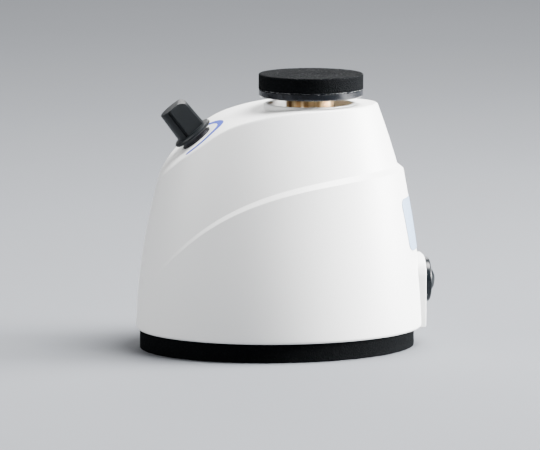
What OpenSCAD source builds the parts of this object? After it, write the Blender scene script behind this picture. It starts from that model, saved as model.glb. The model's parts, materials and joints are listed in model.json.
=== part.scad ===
// Small one-touch vortex mixer: a moulded housing on a foam foot holds a motor whose
// eccentric hub drives a foam topped platform in a small circle.
// Origin: centre of the foot's underside. +Z up, the speed knob faces -Y, the power switch +Y.

/* [Housing] */
// Half length of the housing at its rim, front to rear
rim_a = 45; // [44:0.1:50]
// Half width of the housing at its rim
rim_b = 34.8; // [33:0.1:38]
// Height of the housing from its rim to its top, at the motor's axis
body_h = 69.7; // [69:0.1:76]
// How far the wall leans in at the front and rear, between the rim and the top
lean = 14.3; // [11:0.1:15]
// How far it leans in at the sides
lean_sides = 14.4; // [11:0.1:16]
// How late the wall leans in, 1 being a straight taper
lean_power = 1.8; // [1.4:0.05:2.2]
// Thickness of the housing's wall
wall = 2.4; // [1.8:0.1:2.8]
// Radius of the edge between the wall and the ramp
edge_r = 1.3; // [0.8:0.1:2.4]

/* [Ramp] */
// Slope of the straight part that carries the knob, in degrees
ramp_slope = 38; // [34:1:40]
// Slope of the top, which rises towards the rear, in degrees
top_slope = 1.1; // [0:0.1:2]
// Where the top ends and the ramp starts to fall
ramp_start = 7; // [5:0.1:8]
// Radius of the long upper curve of the ramp
crown_r = 78; // [68:1:85]
// Radius of the tighter knee above the straight part
knee_r = 29; // [22:1:32]
// Length of the straight part, measured along the housing
straight_run = 6.4; // [5:0.1:8]
// Radius of the curve below the straight part, down to the front wall
lower_r = 34; // [28:1:50]

/* [Side line] */
// Height of the stepped side line at the rear, above the rim
line_h = 50.4; // [46:0.1:54]
// How far the line falls from the rear to the front
line_drop = 34; // [26:0.5:35]
// Length over which the line falls
line_run = 22; // [16:0.5:24]
// Depth of the step at the rear
line_step = 1.5; // [0.6:0.1:2]

/* [Collar] */
// Distance of the motor's axis behind the centre of the housing
axis_y = 9.5; // [8:0.1:11]
// Inner radius of the collar round the hub
collar_r = 12.85; // [12:0.05:14]
// Thickness of the collar's wall
collar_wall = 1.55; // [1.2:0.05:2]
// How far the collar stands above the top at the motor's axis
collar_rise = 0.45; // [0.3:0.05:1.5]

/* [Foot and base] */
// Thickness of the foam foot
foot_h = 6.1; // [4:0.1:10]
// How far the foot stands in from the rim at the sides
foot_inset = 2; // [1.5:0.1:2.3]
// Thickness of the steel base plate
base_t = 2; // [1.5:0.1:3]
// Thickness of the cast ballast
ballast_t = 8; // [5:0.5:8.5]

/* [Switch] */
// Radius of the switch's bezel
bezel_r = 7; // [6.8:0.1:8]
// Height of the switch above the rim
switch_h = 13.7; // [12.5:0.1:15]
// Half width of the flat boss that carries the switch
boss_w = 9; // [8.6:0.1:10.5]
// Height of the flat boss above the rim
boss_h = 22; // [21.5:0.1:26]
// Degrees between the rocker's two positions
rocker_swing = 14; // [8:1:20]

/* [Speed control] */
// Distance of the knob's axis in front of the housing's centre, on the ramp
knob_y = 26; // [25.5:0.1:27.5]
// Radius of the knob's skirt
skirt_r = 6.55; // [5.8:0.05:7.5]
// Radius of the knob's grip at its foot
grip_r = 4.85; // [4.6:0.05:5.4]
// Length of the knob's grip
grip_h = 9.8; // [9:0.1:12]
// Radius of the potentiometer's shaft
pot_shaft_r = 3; // [2.5:0.1:3.1]
// Radius of the potentiometer's body
pot_r = 8; // [7:0.1:8.2]

/* [Drive] */
// Orbit radius of the platform, the offset of the bearing in its hub
orbit = 2; // [1.2:0.1:2.2]
// Radius of the motor's can
can_r = 15.2; // [14:0.1:15.4]
// Length of the motor's can
can_h = 34; // [30:0.5:34]
// Radius of the motor's shaft
shaft_r = 2; // [1.5:0.1:2.5]
// Radius of the brass hub
hub_r = 7.4; // [7.2:0.1:9]
// Outer radius of the platform's bearing
bearing_r = 4.5; // [4.4:0.1:4.7]
// Bore radius of the bearing
bearing_bore = 2; // [1.8:0.1:2.1]
// Thickness of the bearing
bearing_t = 4; // [3:0.5:5]

/* [Platform] */
// Radius of the foam pad
pad_r = 16.35; // [14:0.05:18]
// Thickness of the foam pad
pad_t = 4.75; // [4:0.05:8]
// Radius of the plate under the pad
plate_r = 16.2; // [14:0.05:17.5]
// Thickness of the plate
plate_t = 2.3; // [1.6:0.1:3]
// Clear height between the collar and the plate
plate_gap = 2.4; // [1:0.1:4]

/* [Electronics] */
// Width of the control board
board_w = 24; // [23:0.5:26]
// Length of the control board
board_l = 18; // [17:0.5:19]
// Height of the board's standoffs
standoff_h = 8; // [5:0.5:10]

/* [Clearances] */
// Clearance between pieces that are pushed together
fit = 0.02; // [0.01:0.01:0.05]
// Radial running clearance of a shaft or pin
run_fit = 0.05; // [0.03:0.01:0.08]
// Gap between pieces that pass each other
gap = 0.3; // [0.2:0.05:0.4]

/* [Hidden] */

$fn = 48;
columns = 80;             // columns of the housing's mesh
rim_z = foot_h;
top_z = rim_z + body_h;
motor_axis = [0, axis_y, 0];
pad_axis = [orbit, axis_y, 0];

// Ramp profile: gently sloped top, long crown arc, knee arc, straight incline, lower arc
crown_end_slope = 16.9;
crown_centre_y = ramp_start + crown_r * sin(top_slope);
crown_centre_z = top_z + (ramp_start - axis_y) * tan(top_slope) - crown_r * cos(top_slope);
crown_end_y = crown_centre_y - crown_r * sin(crown_end_slope);
crown_end_z = crown_centre_z + crown_r * cos(crown_end_slope);
knee_centre_y = crown_end_y + knee_r * sin(crown_end_slope);
knee_centre_z = crown_end_z - knee_r * cos(crown_end_slope);
knee_end_y = knee_centre_y - knee_r * sin(ramp_slope);
knee_end_z = knee_centre_z + knee_r * cos(ramp_slope);
straight_end_y = knee_end_y - straight_run;
straight_end_z = knee_end_z - straight_run * tan(ramp_slope);
lower_centre_y = straight_end_y + lower_r * sin(ramp_slope);
lower_centre_z = straight_end_z - lower_r * cos(ramp_slope);

// Side line: an exponential fall towards the front, where its step fades out
line_front_y = 3.3 - rim_a;
line_fade_length = 2 * rim_a - 11.6;
line_bevel = 1.5;         // height of the bevel over the line

collar_top = top_z + collar_rise;
collar_chamfer = 0.45;
ceiling_drop = 1.2 * wall; // vertical thickness of the ramp

// Screws: radius, and head radius and height
m3 = [1.5, 2.75, 2];
m25 = [1.25, 2.25, 1.6];
base_column = 46;         // the wall's column that the base bosses stand against
base_wall = [(rim_b - wall) * sin(base_column), (rim_a - wall) * cos(base_column)];
base_boss = base_wall * (1 - 6.7 / norm(base_wall)); // places of the base screws, mirrored to four
base_boss_r = 3.2;
base_boss_h = 14;
mount_boss_r = 3.2;
mount_boss_z = top_z - 14.8;
rubber_r = mount_boss_r + 0.3;
mount_reach = can_r + m3[1] + 0.8; // from the motor's axis, so the screw heads clear the can
mount_x = rim_b - wall - lean_side(mount_boss_z) - rubber_r - 2.5;
mount_y = axis_y - sqrt(max(0, pow(mount_reach, 2) - pow(mount_x, 2)));
mount_points = [[mount_x, mount_y], [-mount_x, mount_y], [0, axis_y + mount_reach]];
mount_t = 3;
bracket_t = 1.6;
bracket_z = mount_boss_z - mount_t - bracket_t;

// Motor, hung under the bracket
can_wall = 1.2;
can_z = bracket_z - can_h;
bell_h = 4;
bell_z = can_z - bell_h;
motor_neck_r = can_r / 3;
bush_r = 4;
bush_h = 5;
rotor_r = can_r - 4.4;
rotor_z = can_z + 10;
rotor_h = can_h - 18;
winding_h = 3;
winding_r = rotor_r - 1.4;
commutator_r = 4;
commutator_z = can_z + 0.6;
commutator_h = 6;
magnet_t = 2.6;
magnet_h = rotor_h + 2;
motor_screw_x = 0.56 * can_r;
motor_clear = 2;          // room under the motor, let into the ballast where it needs it

// Hub, bearing and platform
plate_z = collar_top + plate_gap;
pad_z = plate_z + plate_t;
hub_top = plate_z - gap;
bearing_z = hub_top - bearing_t;
recess_h = 0.7;           // room for the clip under the bearing
hub_seat = 6.4;           // length of the hub's bore for the motor shaft
hub_z = bearing_z - recess_h - 0.6 - hub_seat;
shaft_z = bell_z + 1;
shaft_top = hub_z + hub_seat - 0.2;
set_screw_z = hub_z + 2.9;
ring_wall = 0.6;
ball_r = (bearing_r - bearing_bore - 2 * ring_wall) / 2 - run_fit;
ball_orbit = (bearing_r + bearing_bore) / 2;
ball_count = 9;
shoulder_r = bearing_bore + ring_wall - 0.2;
stud_thread_r = 1.5;

// Base
foot_front_inset = 1;
foot_rear_inset = 2.6;
foot_hole_r = m3[1] + 1.7;
plate_top = rim_z + base_t;
ballast_a = rim_a - 14.3;
ballast_b = rim_b - 9.6;
ballast_y = -1;
ballast_top = plate_top + ballast_t;
ballast_screw_x = ballast_b - 5;
m4 = [2, 3.5, 3];

// Rear boss and switch
boss_y = rim_a + 0.1;     // the boss's flat face
boss_round = 6.5;
boss_face_t = 2.6;
boss_wall = 2.2;
switch_z = rim_z + switch_h;
barrel_r = bezel_r - 0.7;
barrel_depth = 12.6;
bezel_t = 2.2;
bezel_edge = 0.6;
rocker_r = barrel_r - 0.9;
rocker_y = boss_y - 1.2;  // the rocker's pivot
rocker_pin_r = 0.8;

// DC inlet, on the curved wall at the rear left
inlet_column = 215;       // the wall's column that it sits on, in degrees from the front
inlet_z = rim_z + 18;
inlet_point = wall_point(inlet_column, inlet_z);
inlet_turn = atan2(-inlet_point[0] * pow(rim_a, 2), inlet_point[1] * pow(rim_b, 2));
inlet_rise = 1;           // how far its flat face stands out of the wall
inlet_r = 4;
inlet_depth = 11;
inlet_flange_r = 5.2;
inlet_boss_r = 6.2;

// Speed control
knob_z = ramp_z(-knob_y);
pot_pad = 1.1;            // the pad inside that the control seats on, clear of the knee
pot_seat = ceiling_drop * cos(ramp_slope) + pot_pad;
pot_h = 8;
bushing_r = 3.5;
washer_r = 5.1;
washer_t = 0.4;
nut_r = 4.8;
nut_h = 0.9;
skirt_z = washer_t + nut_h + gap;
skirt_t = 1.25;
bushing_top = skirt_z - 0.1;
knob_bore_h = 7.5;

// Control board, on standoffs over the ballast
board_y = axis_y - can_r - 13.3;
board_t = 1.6;
board_z = ballast_top + standoff_h;
standoff_r = 2.2;
board_hole = [board_w / 2 - 2.5, board_l / 2 - 2.5];
lead_r = 0.7;

// ---- Functions of the housing's shape ----

// Height of the ramp over a place along the housing
function ramp_z(y) =
    y >= ramp_start ? top_z + (y - axis_y) * tan(top_slope) :
    y >= crown_end_y ? crown_centre_z + sqrt(crown_r * crown_r - pow(y - crown_centre_y, 2)) :
    y >= knee_end_y ? knee_centre_z + sqrt(knee_r * knee_r - pow(y - knee_centre_y, 2)) :
    y >= straight_end_y ? knee_end_z - (knee_end_y - y) * tan(ramp_slope) :
    lower_centre_z + sqrt(max(lower_r * lower_r - pow(y - lower_centre_y, 2), 0));

// How far the wall has leaned in at a height, at the front and rear and at the sides
function lean_share(z) = pow(max(z - rim_z, 0) / body_h, lean_power);
function lean_in(z) = lean * lean_share(z);
function lean_side(z) = lean_sides * lean_share(z);

function line_z(y) = rim_z + line_h - line_drop * exp((line_front_y - y) / line_run);
function line_depth(y) = line_step * min(1, max(0, (y - line_front_y) / line_fade_length));

// How far the lower skin stands proud of the upper one
function proud(y, z) =
    let (top = line_z(y))
    z > top ? 0 : line_depth(y) * pow(max(z - rim_z, 0) / (top - rim_z), 3);

// Place along the housing of the wall's column t at a height
function column_y(t, z) = -(rim_a - lean_in(z)) * cos(t);

// A point of the outer wall, moved out by off
function wall_point(t, z, off = 0) =
    let (out = off + proud(column_y(t, z), z))
    [(rim_b + out - lean_side(z)) * sin(t), -(rim_a + out - lean_in(z)) * cos(t), z];

// Height where a column meets the side line, the ramp, and the inside of the ramp
function meet_line(t, z, n = 12) = n == 0 ? z : meet_line(t, line_z(column_y(t, z)), n - 1);
function meet_ramp(t, z, n = 14) = n == 0 ? z : meet_ramp(t, ramp_z(column_y(t, z)), n - 1);
function meet_ceiling(t, z, n = 14) =
    n == 0 ? z : meet_ceiling(t, ramp_z(column_y(t, z) - wall * -cos(t)) - ceiling_drop, n - 1);

function mix(a, b, s) = a + (b - a) * s;
function curve(a, b, c, s) = mix(mix(a, b, s), mix(b, c, s), s);
function on_ramp(p, drop = 0) = [p[0], p[1], ramp_z(p[1]) - drop];
function collar_point(t, r) = [r * sin(t), axis_y - r * cos(t)];

// One column of the housing's skin: up the outside, over the ramp, through the collar and
// back down the inside
function column(t) =
    let (line = meet_line(t, rim_z + line_h / 2),
         bevel = line + line_bevel,
         edge = meet_ramp(t, top_z),
         edge_point = wall_point(t, edge),
         collar = collar_point(t, collar_r + collar_wall),
         inward = [collar[0] - edge_point[0], collar[1] - edge_point[1]],
         back = [edge_point[0], edge_point[1]] + inward / norm(inward) * edge_r,
         fillet_low = wall_point(t, edge - edge_r),
         fillet_high = on_ramp(back),
         ceiling_edge = meet_ceiling(t, top_z),
         inner_edge = wall_point(t, ceiling_edge, -wall),
         hole = collar_point(t, collar_r))
    concat(
        [for (i = [0:6]) wall_point(t, mix(rim_z, line - 0.001, i / 6))],
        [for (i = [0:5]) wall_point(t, mix(bevel, edge - edge_r, i / 5))],
        [for (i = [1:3]) curve(fillet_low, edge_point, fillet_high, i / 4)],
        [for (i = [0:6]) on_ramp(mix(back, collar, i / 6))],
        [for (r = [[collar_wall, collar_chamfer], [collar_wall - collar_chamfer, 0], [collar_chamfer, 0],
                   [0, collar_chamfer]])
            let (p = collar_point(t, collar_r + r[0]), low = ramp_z(p[1]) + 0.05)
            [p[0], p[1], r[0] == collar_wall ? max(collar_top - r[1], low) : collar_top - r[1]]],
        [for (i = [0:3]) on_ramp(mix(hole, [inner_edge[0], inner_edge[1]], i / 4), ceiling_drop)],
        [for (i = [0:5]) wall_point(t, mix(ceiling_edge, rim_z, i / 5), -wall - proud(column_y(t,
            mix(ceiling_edge, rim_z, i / 5)), mix(ceiling_edge, rim_z, i / 5)))]);

module skin() {
    skin_points = [for (k = [0:columns - 1]) column(360 * k / columns)];
    rows = len(skin_points[0]);
    polyhedron(
        points = [for (c = skin_points) for (p = c) p],
        faces = [for (k = [0:columns - 1]) for (i = [0:rows - 1])
            let (next = (k + 1) % columns, up = (i + 1) % rows,
                 a = k * rows + i, b = next * rows + i, c = next * rows + up, d = k * rows + up)
            each [[a, c, b], [a, d, c]]]);
}

// ---- Helpers ----

module ellipse(a, b) {
    polygon([for (k = [0:columns - 1]) [b * sin(360 * k / columns), a * cos(360 * k / columns)]]);
}

// Children at the speed control: +Z along its axis, from the ramp's surface
module at_knob() {
    translate([0, -knob_y, knob_z]) rotate([ramp_slope, 0, 0]) children();
}

// Children at the switch: +Z out of the rear boss, from its face
module at_switch() {
    translate([0, boss_y, switch_z]) rotate([-90, 0, 0]) children();
}

// Children at the DC inlet: +Z out of the wall, from its flat face
module at_inlet() {
    translate(inlet_point) rotate([0, 0, inlet_turn]) translate([0, inlet_rise, 0])
        rotate([-90, 0, 0]) children();
}

module ring(outer, inner, h) {
    difference() {
        cylinder(r = outer, h = h);
        translate([0, 0, -1]) cylinder(r = inner, h = h + 2);
    }
}

// A screw with its head's underside at z = 0, pointing up
module screw(size, length) {
    cylinder(r = size[0], h = length);
    difference() {
        translate([0, 0, -size[2]]) cylinder(r = size[1], h = size[2]);
        for (turn = [0, 90]) rotate([0, 0, turn])
            translate([-size[1] * 0.6, -0.4, -size[2] - 1]) cube([size[1] * 1.2, 0.8, 1 + size[2] / 2]);
    }
}

module at_corners(p) {
    for (x = [-1, 1]) for (y = [-1, 1]) translate([x * p[0], y * p[1], 0]) children();
}

// A smooth path through hand-placed points
function bend(p, i, s) =
    let (a = p[max(i - 1, 0)], b = p[i], c = p[i + 1], d = p[min(i + 2, len(p) - 1)])
    0.5 * (2 * b + (c - a) * s + (2 * a - 5 * b + 4 * c - d) * s * s + (3 * b - 3 * c + d - a) * s * s * s);
function path(p, steps = 4) =
    concat([for (i = [0:len(p) - 2]) for (k = [0:steps - 1]) bend(p, i, k / steps)], [p[len(p) - 1]]);
function unit(v) = v / norm(v);
function tangent(p, i) = unit(p[min(i + 1, len(p) - 1)] - p[max(i - 1, 0)]);
function side(t, last) = unit(last - (last * t) * t);
function sides(p, i = 0, last = [1, 0.3, 0.1]) =
    i == len(p) ? [] : let (s = side(tangent(p, i), last)) concat([s], sides(p, i + 1, s));

// A round lead swept along the path through its points
module lead(points, r = lead_r, n = 6) {
    p = path(points);
    across = sides(p);
    count = len(p);
    rings = [for (i = [0:count - 1]) let (u = across[i], v = cross(tangent(p, i), u))
        for (k = [0:n - 1]) p[i] + r * (cos(360 * k / n) * u + sin(360 * k / n) * v)];
    polyhedron(points = rings, faces = concat(
        [[for (k = [0:n - 1]) k]],
        [for (i = [0:count - 2]) for (k = [0:n - 1]) let (l = (k + 1) % n)
            each [[i * n + k, (i + 1) * n + k, (i + 1) * n + l], [i * n + k, (i + 1) * n + l, i * n + l]]],
        [[for (k = [n - 1:-1:0]) (count - 1) * n + k]]));
}

// ---- Housing ----

// The switch boss's outline, standing on the rim
module boss_outline(w, h, r) {
    hull() {
        for (x = [-1, 1]) translate([x * (w - r), h - r]) circle(r = r, $fn = 32);
        translate([-w, 0]) square([2 * w, 1]);
    }
}

module rear_boss() {
    inner_start = 6.5;
    plate_clear = base_t + gap;
    translate([0, boss_y, rim_z]) rotate([90, 0, 0]) {
        linear_extrude(3.6) boss_outline(boss_w, boss_h, boss_round);
        intersection() {
            linear_extrude(inner_start) boss_outline(boss_w, boss_h, boss_round);
            translate([-boss_w, plate_clear, 0]) cube([2 * boss_w, boss_h, inner_start]);
        }
    }
}

module boss_pocket() {
    translate([0, boss_y - boss_face_t, rim_z]) rotate([90, 0, 0]) translate([0, -0.01, 0])
        linear_extrude(8) boss_outline(boss_w - boss_wall, boss_h - boss_wall, boss_round - boss_wall);
}

// Bosses for the base screws, tied to the wall
module base_bosses() {
    for (x = [-1, 1]) for (y = [-1, 1]) hull() {
        translate([x * base_boss[0], y * base_boss[1], plate_top])
            cylinder(r = base_boss_r, h = base_boss_h, $fn = 32);
        translate([x * base_wall[0], y * base_wall[1], plate_top])
            cylinder(r = 1, h = base_boss_h, $fn = 16);
    }
}

// Bosses under the ceiling for the motor bracket
module mount_bosses() {
    for (p = mount_points) hull() {
        translate([p[0], p[1], mount_boss_z]) cylinder(r = mount_boss_r, h = 1, $fn = 32);
        translate([p[0], p[1], ramp_z(p[1]) - ceiling_drop]) cylinder(r = mount_boss_r + 0.4, h = 1, $fn = 32);
    }
}

module housing() {
    color("white") difference() {
        union() {
            skin();
            rear_boss();
            base_bosses();
            mount_bosses();
            at_knob() translate([0, 0, -pot_seat]) cylinder(r = bushing_r + 3, h = pot_seat - 1, $fn = 48);
            at_inlet() translate([0, 0, -5.5]) cylinder(r = inlet_boss_r, h = 5.5, $fn = 48);
        }
        boss_pocket();
        at_switch() translate([0, 0, -20]) cylinder(r = barrel_r + 0.1, h = 30, $fn = 64);
        at_knob() translate([0, 0, -20]) cylinder(r = bushing_r + 0.1, h = 30, $fn = 48);
        at_inlet() translate([0, 0, -20]) cylinder(r = inlet_r + 0.1, h = 30, $fn = 48);
        translate([0, 0, plate_top - 1]) at_corners(base_boss) cylinder(r = m3[0] + run_fit, h = 11, $fn = 24);
        for (p = mount_points) translate([p[0], p[1], mount_boss_z - 1])
            cylinder(r = m3[0] + run_fit, h = 9, $fn = 24);
    }
}

// Blank sticker on the rear wall, over the switch
label_w = 0.372 * rim_b;
label_low = rim_z + boss_h + 2.7;
label_high = label_low + 0.234 * body_h;
label_t = 0.15;
module rear_label() {
    steps = 14;
    levels = 8;
    reach = asin(label_w / (rim_b - lean_side((label_low + label_high) / 2)));
    function label_point(i, j, off) =
        wall_point(180 + mix(-reach, reach, i / steps), mix(label_low, label_high, j / levels), off);
    sheet = [for (off = [0.03, 0.03 + label_t]) for (i = [0:steps]) for (j = [0:levels])
        label_point(i, j, off)];
    n = (steps + 1) * (levels + 1);
    function at(i, j) = i * (levels + 1) + j;
    edge = concat([for (i = [0:steps - 1]) at(i, 0)], [for (j = [0:levels - 1]) at(steps, j)],
                  [for (i = [steps:-1:1]) at(i, levels)], [for (j = [levels:-1:1]) at(0, j)]);
    color("lightblue") polyhedron(points = sheet, faces = concat(
        [for (i = [0:steps - 1]) for (j = [0:levels - 1])
            each [[at(i, j), at(i, j + 1), at(i + 1, j + 1)], [at(i, j), at(i + 1, j + 1), at(i + 1, j)]]],
        [for (i = [0:steps - 1]) for (j = [0:levels - 1])
            each [[n + at(i, j), n + at(i + 1, j + 1), n + at(i, j + 1)],
                  [n + at(i, j), n + at(i + 1, j), n + at(i + 1, j + 1)]]],
        [for (k = [0:len(edge) - 1]) let (a = edge[k], b = edge[(k + 1) % len(edge)])
            each [[a, b, n + b], [a, n + b, n + a]]]));
}

// ---- Base ----

module foot_pad() {
    a = rim_a - (foot_front_inset + foot_rear_inset) / 2;
    color("#1a1a1a") difference() {
        translate([0, (foot_front_inset - foot_rear_inset) / 2, 0]) linear_extrude(foot_h)
            ellipse(a, rim_b - foot_inset);
        translate([0, 0, -1]) at_corners(base_boss) cylinder(r = foot_hole_r, h = foot_h + 2);
    }
}

module base_plate() {
    color("silver") difference() {
        translate([0, 0, rim_z]) linear_extrude(base_t) ellipse(rim_a - wall - gap, rim_b - wall - gap);
        translate([0, 0, rim_z - 1]) {
            at_corners(base_boss) cylinder(r = m3[0] + run_fit, h = base_t + 2);
            for (x = [-1, 1]) translate([x * ballast_screw_x, ballast_y, 0])
                cylinder(r = m4[0] + run_fit, h = base_t + 2);
        }
    }
}

module base_screws() {
    color("gray") at_corners(base_boss) translate([0, 0, rim_z]) screw(m3, base_t + 8);
}

module ballast_weight() {
    color("#3c3c3f") difference() {
        translate([0, ballast_y, plate_top]) linear_extrude(ballast_t) ellipse(ballast_a, ballast_b);
        translate([0, 0, plate_top - 1]) {
            at_corners(base_boss) cylinder(r = base_boss_r + 2 * gap, h = ballast_t + 2);
            for (x = [-1, 1]) translate([x * ballast_screw_x, ballast_y, 0]) {
                cylinder(r = m4[0] + run_fit, h = ballast_t + 2);
                translate([0, 0, 1 + ballast_t - m4[2]]) cylinder(r = m4[1] + gap, h = m4[2] + 2);
            }
        }
        translate([0, axis_y, max(plate_top + 1, bell_z - motor_clear)])
            cylinder(r = can_r + 2 * gap, h = body_h);
    }
}

module ballast_screws() {
    color("gray") for (x = [-1, 1]) translate([x * ballast_screw_x, ballast_y, ballast_top - m4[2]])
        mirror([0, 0, 1]) screw(m4, ballast_t + base_t - m4[2] - 0.2);
}

// ---- Motor ----

module motor_can() {
    color("silver") translate(motor_axis) difference() {
        union() {
            translate([0, 0, can_z]) cylinder(r = can_r, h = can_h);
            translate([0, 0, bracket_z]) cylinder(r = motor_neck_r, h = bracket_t);
        }
        translate([0, 0, can_z - 1]) cylinder(r = can_r - can_wall, h = can_h + 1 - can_wall);
        translate([0, 0, bracket_z + bracket_t - bush_h]) cylinder(r = bush_r + fit, h = bush_h + 1);
        for (x = [-1, 1]) translate([x * motor_screw_x, 0, bracket_z - can_wall - 1])
            cylinder(r = m25[0] + run_fit, h = can_wall + 2);
    }
}

module motor_end_bell() {
    slot = [6, 4.4, 4.2];
    color("#222222") translate(motor_axis) difference() {
        union() {
            translate([0, 0, bell_z]) cylinder(r = can_r, h = bell_h);
            for (x = [-1, 1]) translate([x * 8.2, 0, can_z + 2.6]) cube([8, 6.4, 5.2 + 0.01], center = true);
        }
        translate([0, 0, bell_z + 1]) cylinder(r = bush_r + fit, h = bell_h);
        for (x = [-1, 1]) translate([x * 7.4, 0, can_z + 2.9])
            cube([slot[0] + 2 * run_fit + 2, slot[1] + 2 * run_fit, slot[2] + 2 * run_fit], center = true);
        translate([0, 0, bell_z - 1]) cylinder(r = shaft_r + 1, h = 3);
    }
}

module motor_brushes() {
    color("#333333") translate(motor_axis) for (x = [0, 180]) rotate([0, 0, x])
        translate([commutator_r + gap, -2.2, can_z + 0.8]) cube([6, 4.4, 4.2]);
}

module motor_magnets() {
    arc = 130;
    outer = can_r - can_wall - fit;
    color("#505055") translate([0, axis_y, rotor_z - 1]) for (turn = [0, 180])
        rotate([0, 0, turn - arc / 2]) rotate_extrude(angle = arc)
            translate([outer - magnet_t, 0]) square([magnet_t, magnet_h]);
}

module motor_front_bush() {
    color("goldenrod") translate([0, axis_y, bracket_z + bracket_t - bush_h])
        ring(bush_r, shaft_r + run_fit, bush_h);
}

module motor_rear_bush() {
    color("goldenrod") translate([0, axis_y, bell_z + 1]) ring(bush_r, shaft_r + run_fit, bell_h - 1.4);
}

module motor_bracket() {
    arm = mount_boss_r + 1.3;
    color("silver") difference() {
        translate([0, 0, bracket_z]) linear_extrude(bracket_t) {
            translate([0, axis_y]) circle(r = can_r - 1);
            for (p = mount_points) hull() {
                translate([0, axis_y]) circle(r = arm);
                translate(p) circle(r = arm);
            }
        }
        translate([0, axis_y, bracket_z - 1]) cylinder(r = motor_neck_r + run_fit, h = bracket_t + 2);
        for (x = [-1, 1]) translate([x * motor_screw_x, axis_y, bracket_z - 1])
            cylinder(r = m25[0] + run_fit, h = bracket_t + 2);
        for (p = mount_points) translate([p[0], p[1], bracket_z - 1])
            cylinder(r = m3[0] + 0.3, h = bracket_t + 2);
    }
}

module rubber_mounts() {
    color("#202020") for (p = mount_points) translate([p[0], p[1], bracket_z + bracket_t])
        ring(rubber_r, m3[0] + run_fit, mount_t);
}

module bracket_screws() {
    color("gray") for (p = mount_points) translate([p[0], p[1], bracket_z])
        screw(m3, bracket_t + mount_t + 7);
}

module motor_screws() {
    color("gray") for (x = [-1, 1]) translate([x * motor_screw_x, axis_y, bracket_z + bracket_t])
        mirror([0, 0, 1]) screw(m25, bracket_t + can_wall + 2);
}

module motor_shaft() {
    color("#b8bcc0") translate([0, axis_y, shaft_z]) cylinder(r = shaft_r, h = shaft_top - shaft_z);
}

module rotor_core() {
    slots = 7;
    color("#6a6d70") translate([0, axis_y, rotor_z]) difference() {
        cylinder(r = rotor_r, h = rotor_h);
        translate([0, 0, -1]) cylinder(r = shaft_r + fit, h = rotor_h + 2);
        for (k = [0:slots - 1]) rotate([0, 0, 360 * k / slots])
            translate([rotor_r - 2.4, -0.8, -1]) cube([4, 1.6, rotor_h + 2]);
    }
}

module rotor_windings() {
    color("#b0602a") translate([0, axis_y, 0]) for (z = [rotor_z - winding_h, rotor_z + rotor_h])
        translate([0, 0, z]) rotate_extrude() translate([shaft_r + 1.5, 0]) {
            square([winding_r - shaft_r - 2.5, winding_h]);
            translate([winding_r - shaft_r - 2.5, 0.8]) square([1, winding_h - 1.6]);
        }
}

module commutator() {
    bars = 7;
    color("#c87f3f") translate([0, axis_y, commutator_z]) difference() {
        cylinder(r = commutator_r, h = commutator_h);
        translate([0, 0, -1]) cylinder(r = shaft_r + fit, h = commutator_h + 2);
        for (k = [0:bars - 1]) rotate([0, 0, 360 * (k + 0.5) / bars])
            translate([commutator_r - 0.6, -0.2, -1]) cube([2, 0.4, commutator_h + 2]);
    }
}

// ---- Eccentric hub and platform ----

module eccentric_hub() {
    color("goldenrod") difference() {
        translate([0, axis_y, hub_z]) rotate_extrude() polygon([[0, 0], [hub_r - 0.4, 0], [hub_r, 0.4],
            [hub_r, hub_top - hub_z - 0.4], [hub_r - 0.4, hub_top - hub_z], [0, hub_top - hub_z]]);
        translate([0, axis_y, hub_z - 1]) cylinder(r = shaft_r + fit, h = hub_seat + 1);
        translate([orbit, axis_y, bearing_z]) cylinder(r = bearing_r + fit, h = bearing_t + 1);
        translate([orbit, axis_y, bearing_z - recess_h]) cylinder(r = bearing_r - ring_wall, h = recess_h + 1);
        translate([0, axis_y, set_screw_z]) rotate([-90, 0, 0]) cylinder(r = m3[0] + fit, h = hub_r + 1);
    }
}

module hub_set_screw() {
    length = hub_r - shaft_r - 1.2;
    color("#404040") translate([0, axis_y + shaft_r + 0.1, set_screw_z]) rotate([-90, 0, 0]) difference() {
        cylinder(r = m3[0], h = length);
        translate([0, 0, length - 1.6]) cylinder(r = 0.85, h = 2, $fn = 6);
    }
}

module bearing_outer_ring() {
    color("#c8ccd0") translate([orbit, axis_y, bearing_z]) ring(bearing_r, bearing_r - ring_wall, bearing_t);
}

module bearing_inner_ring() {
    color("#c8ccd0") translate([orbit, axis_y, bearing_z])
        ring(bearing_bore + ring_wall, bearing_bore, bearing_t);
}

module bearing_balls() {
    color("#e0e4e8") translate([orbit, axis_y, bearing_z + bearing_t / 2]) for (k = [0:ball_count - 1])
        rotate([0, 0, 360 * k / ball_count]) translate([ball_orbit, 0, 0]) sphere(r = ball_r, $fn = 24);
}

module platform_stud() {
    stud_low = bearing_z - recess_h + 0.15;
    color("#b8bcc0") translate([orbit, axis_y, 0]) difference() {
        union() {
            translate([0, 0, stud_low]) cylinder(r = bearing_bore - fit, h = hub_top - stud_low);
            translate([0, 0, hub_top]) cylinder(r = shoulder_r, h = plate_z - hub_top);
            translate([0, 0, plate_z]) cylinder(r = stud_thread_r, h = plate_t - 0.2);
        }
        translate([0, 0, stud_low + 0.1]) ring(bearing_bore + 1, bearing_bore - 0.35, 0.45);
    }
}

module stud_clip() {
    color("#505050") translate([orbit, axis_y, bearing_z - recess_h + 0.3]) difference() {
        ring(bearing_bore + 0.9, bearing_bore - 0.3, 0.35);
        translate([0, -0.8, -1]) cube([6, 1.6, 3]);
    }
}

module platform_plate() {
    chamfer = 0.35;
    color("#3a3d42") translate([orbit, axis_y, plate_z]) difference() {
        rotate_extrude() polygon([[0, 0], [plate_r - chamfer, 0], [plate_r, chamfer],
            [plate_r, plate_t - chamfer], [plate_r - chamfer, plate_t], [0, plate_t]]);
        translate([0, 0, -1]) cylinder(r = stud_thread_r + fit, h = plate_t + 2);
    }
}

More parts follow.
